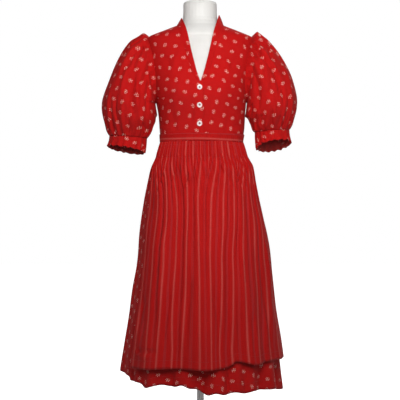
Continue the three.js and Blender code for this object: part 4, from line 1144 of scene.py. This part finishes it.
def build_stitch_tree():
    tree = bpy.data.node_groups.new("running stitches", "GeometryNodeTree")
    kinds = {"Geometry": "Geometry", **{label: "Float" for label in STITCH}, "Thread": "Material"}
    for label, kind in kinds.items():
        tree.interface.new_socket(label, in_out="INPUT", socket_type="NodeSocket" + kind)
    tree.interface.new_socket("Geometry", in_out="OUTPUT", socket_type="NodeSocketGeometry")
    into = fields(tree.nodes.new("NodeGroupInput"))
    line = result("GeometryNodeMeshToCurve", 0, {"Mesh": into["Geometry"]})
    dots = fields(add_node(tree, "GeometryNodeCurveToPoints", {"Curve": line, "Length": into["Pitch"]},
                           mode="LENGTH"))
    bar = result("GeometryNodeMeshCylinder", "Mesh", {
        "Vertices": 5, "Radius": into["Thread radius"], "Depth": into["Stitch length"]})
    aim = result("FunctionNodeAlignRotationToVector", 0, {"Vector": dots["Tangent"]}, axis="Z")
    size = add_node(tree, "FunctionNodeRandomValue", {
        "Min": (0.9, 0.9, 0.85), "Max": (1.1, 1.1, 1.1), "Seed": 7}, data_type="FLOAT_VECTOR")
    copies = result("GeometryNodeInstanceOnPoints", 0, {
        "Points": dots["Points"], "Instance": bar, "Rotation": aim, "Scale": Field(size.outputs[0])})
    real = result("GeometryNodeRealizeInstances", 0, {"Geometry": copies})
    coloured = result("GeometryNodeSetMaterial", 0, {"Geometry": real, "Material": into["Thread"]})
    feed(tree.nodes.new("NodeGroupOutput"), {"Geometry": coloured})
    return tree


STITCH_TREE = build_stitch_tree()


def stitch_lines(name, lines):
    """Rows of stitches along lines of points in mm, as one plain mesh."""
    vertices, edges = [], []
    for line in lines:
        start = len(vertices)
        vertices += (np.asarray(line) * 0.001).tolist()
        edges += [(start + k, start + k + 1) for k in range(len(line) - 1)]
    mesh = bpy.data.meshes.new(name + "_line")
    mesh.from_pydata(vertices, edges, [])
    guide = put(name + "_line", mesh)
    maker = guide.modifiers.new("stitches", "NODES")
    maker.node_group = STITCH_TREE
    settings = {**STITCH, "Thread": THREAD}
    for item in STITCH_TREE.interface.items_tree:
        if item.name in settings:
            maker[item.identifier] = settings[item.name]
    bpy.context.view_layer.update()
    made = bpy.data.meshes.new_from_object(guide.evaluated_get(bpy.context.evaluated_depsgraph_get()))
    guide.modifiers.remove(maker)
    bpy.data.objects.remove(guide)
    made.name = name
    put_piece(name, made)


def on_top(points, row, closed=False, height=0.15):
    """A line of stitches along one row of a cloth's grid, just above it."""
    line = (points + normals(points, closed) * height)[row]
    return np.concatenate([line, line[:1]]) if closed else line


# Millimetres: threads over the bodice, holes off the button's middle each way, and half a thread.
THREAD_LIFT, HOLE_OFF, THREAD_HALF = 6.4, 1.7, 0.35


def button_threads():
    """Two crossed threads through the four holes of each button."""
    vertices, faces = [], []
    for height in BUTTON_HEIGHTS:
        height = np.array(height)
        out = offset(angle_at(np.array(BUTTON_X), height, False), height, np.array(THREAD_LIFT))
        for lean in (-1, 1):
            ends = [out + HOLE_OFF * np.array([lean * k, 0, k]) for k in (-1, 1)]
            line = [ends[0], (ends[0] + ends[1]) / 2 + np.array([0, -0.2, 0]), ends[1]]
            for first, second in zip(line, line[1:]):
                run = Vector(second - first).normalized()
                side = run.cross(Vector((0, 1, 0))).normalized()
                up = run.cross(side)
                start = len(vertices)
                for end in (first, second):
                    for turn in (math.tau * k / 6 for k in range(6)):
                        place = Vector(end) + (side * math.cos(turn) + up * math.sin(turn)) * THREAD_HALF
                        vertices.append(tuple(place * 0.001))
                for k in range(6):
                    n = (k + 1) % 6
                    faces.append((start + k, start + n, start + 6 + n, start + 6 + k))
    mesh = bpy.data.meshes.new("button_threads")
    mesh.from_pydata(vertices, [], faces)
    mesh.materials.append(THREAD)
    put_piece("button_threads", mesh)


# Build the cloth.
for side, sign in (("right", -1), ("left", 1)):
    bodice_front(side, sign)
    neckband(side, sign, 0 if sign < 0 else 10)
    for make in (sleeve, cuff, bow_loop, bow_tail):
        make(side, sign)
bodice_back()
skirt_points, apron_points, smock_points = skirt(), apron_skirt(), smocked_band()
band_points = waist_strip("apron_waistband", -82, 96, BAND_TOP, BAND_BOTTOM, 3)
waist_strip("apron_tie_right", -82.3, -179.2, BAND_TOP - 1, BAND_BOTTOM + 1, 4)
waist_strip("apron_tie_left", 96.3, 179.2, BAND_TOP - 1, BAND_BOTTOM + 1, 5)
bow_knot()
stitch_lines("skirt_hem_stitches", [on_top(skirt_points, -4, closed=True)])
stitch_lines("apron_stitches", [
    on_top(apron_points, -4), on_top(apron_points.swapaxes(0, 1), 3, height=-0.15),
    on_top(band_points, 1), on_top(band_points, -2), on_top(smock_points, 3)])
button_threads()

# Frame parts that show as they are: form, stand and buttons.
SHOWN = {
    pearl_material(): ("button_1", "button_2", "button_3"),
    smooth_white("form_white", colour(220, 218, 214), 0.62, 220.0, 0.1): ("form_torso", "form_neck_cap"),
    smooth_white("stand_white", colour(244, 244, 242), 0.32, 500.0, 0.25): ("form_pole", "form_base"),
}
for look, names in SHOWN.items():
    for name in names:
        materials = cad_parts[name].data.materials
        materials.clear()
        materials.append(look)

# Cut sizes of the cloth, in metres. SIDE stands for the right one and then the left one.
SHEETS = (
    ("bodice_front_SIDE", (0.19, 0.40), 0.05, "stretched"), ("bodice_back", (0.36, 0.40), 0.1, "stretched"),
    ("neckband_SIDE", (0.05, 0.36), 0.0075, "folded"), ("sleeve_SIDE", (0.62, 0.36), 0.19, "gathered"),
    ("cuff_SIDE", (0.4, 0.035), None, "gathered"), ("skirt", (1.95, 0.82), 1.28, "gathered"),
    ("apron_skirt", (0.703, 0.69), None, "gathered"), ("apron_smocking", (0.703, 0.055), None, "gathered"),
    ("apron_waistband", (0.43, 0.028), None, "stretched"),
    ("apron_tie_right", (0.24, 0.026), None, "stretched"),
    ("apron_tie_left", (0.21, 0.026), None, "stretched"), ("bow_loop_SIDE", (0.19, 0.034), None, "folded"),
    ("bow_tail_SIDE", (0.28, 0.026), None, "hung"),
)
for name, flat, area, held in SHEETS:
    for node in dict.fromkeys(name.replace("SIDE", side) for side in ("right", "left")):
        extra = {"with_pieces": [pieces["bow_knot"]]} if node == "apron_tie_left" else {}


# Floor, light and camera.
def white_floor():
    """Flat white floor that runs out into the white of the room on every side."""
    mesh = bpy.data.meshes.new("studio_floor")
    mesh.from_pydata([(-9, -9, 0), (9, -9, 0), (9, 9, 0), (-9, 9, 0)], [], [(0, 1, 2, 3)])
    made, shader, place = new_material("studio_white")
    across, along, _ = parts_of(place)
    glow = step_up(distance(across, along), 0.15, 0.62)
    feed(shader, {
        "Roughness": 0.7 + noise(place, 60.0, 2.0) * 0.1, "Base Color": (0.86, 0.86, 0.86, 1),
        "Emission Color": blend_colour(glow, (0.12, 0.12, 0.12, 1), (1, 1, 1, 1)), "Emission Strength": 1.0})
    mesh.materials.append(made)
    floor = put("studio_floor", mesh)
    floor.visible_diffuse = False


ROOM_LIGHT = 0.17


def white_room():
    """Room that looks pure white but gives the cloth only a soft light."""
    world = bpy.data.worlds.new("studio")
    world.use_nodes = True
    seen = Field(add_node(world.node_tree, "ShaderNodeLightPath").outputs["Is Camera Ray"])
    strength = result("ShaderNodeMapRange", "Result", {"Value": seen, "To Min": ROOM_LIGHT, "To Max": 1.0})
    feed(world.node_tree.nodes["Background"], {"Strength": strength, "Color": (1, 1, 1, 1)})
    bpy.context.scene.world = world


def area_light(name, place, aim_height, width, depth, energy):
    lamp = bpy.data.lights.new(name, "AREA")
    lamp.shape = "RECTANGLE"
    lamp.size, lamp.size_y = width, depth
    lamp.energy = energy
    holder = put(name, lamp)
    holder.location = place
    holder.rotation_euler = (Vector((0, 0, aim_height)) - Vector(place)).to_track_quat("-Z", "Y").to_euler()
    holder.visible_camera = False


white_floor()
white_room()
area_light("key above", (0.1, -1.12, 1.78), 1.05, 1.0, 0.5, 9)
area_light("front light", (0.12, -1.3, 1.15), 1.1, 0.5, 0.4, 7.3)
area_light("fill from the right", (2.4, -1.6, 1.9), 0.9, 1.2, 1.6, 7)
area_light("fill from the left", (-2.4, -1.4, 1.8), 0.9, 1.2, 1.6, 5)
area_light("light behind", (0.4, 1.7, 2.6), 1.1, 2.0, 1.0, 24)

SENSOR_WIDTH = 36
CAMERA_AWAY, CAMERA_HEIGHT, PICTURE_WIDTH = 3.2, 0.82, 1.32
camera_data = bpy.data.cameras.new("camera")
camera_data.sensor_width = SENSOR_WIDTH
camera_data.lens = SENSOR_WIDTH * CAMERA_AWAY / PICTURE_WIDTH
camera_data.clip_start, camera_data.clip_end = 0.1, 100
camera = put("camera", camera_data)
camera.location = (-0.0013, -CAMERA_AWAY, CAMERA_HEIGHT)
camera.rotation_euler = (math.pi / 2, 0, 0)
bpy.context.scene.camera = camera
bpy.context.scene.view_settings.view_transform = "Standard"
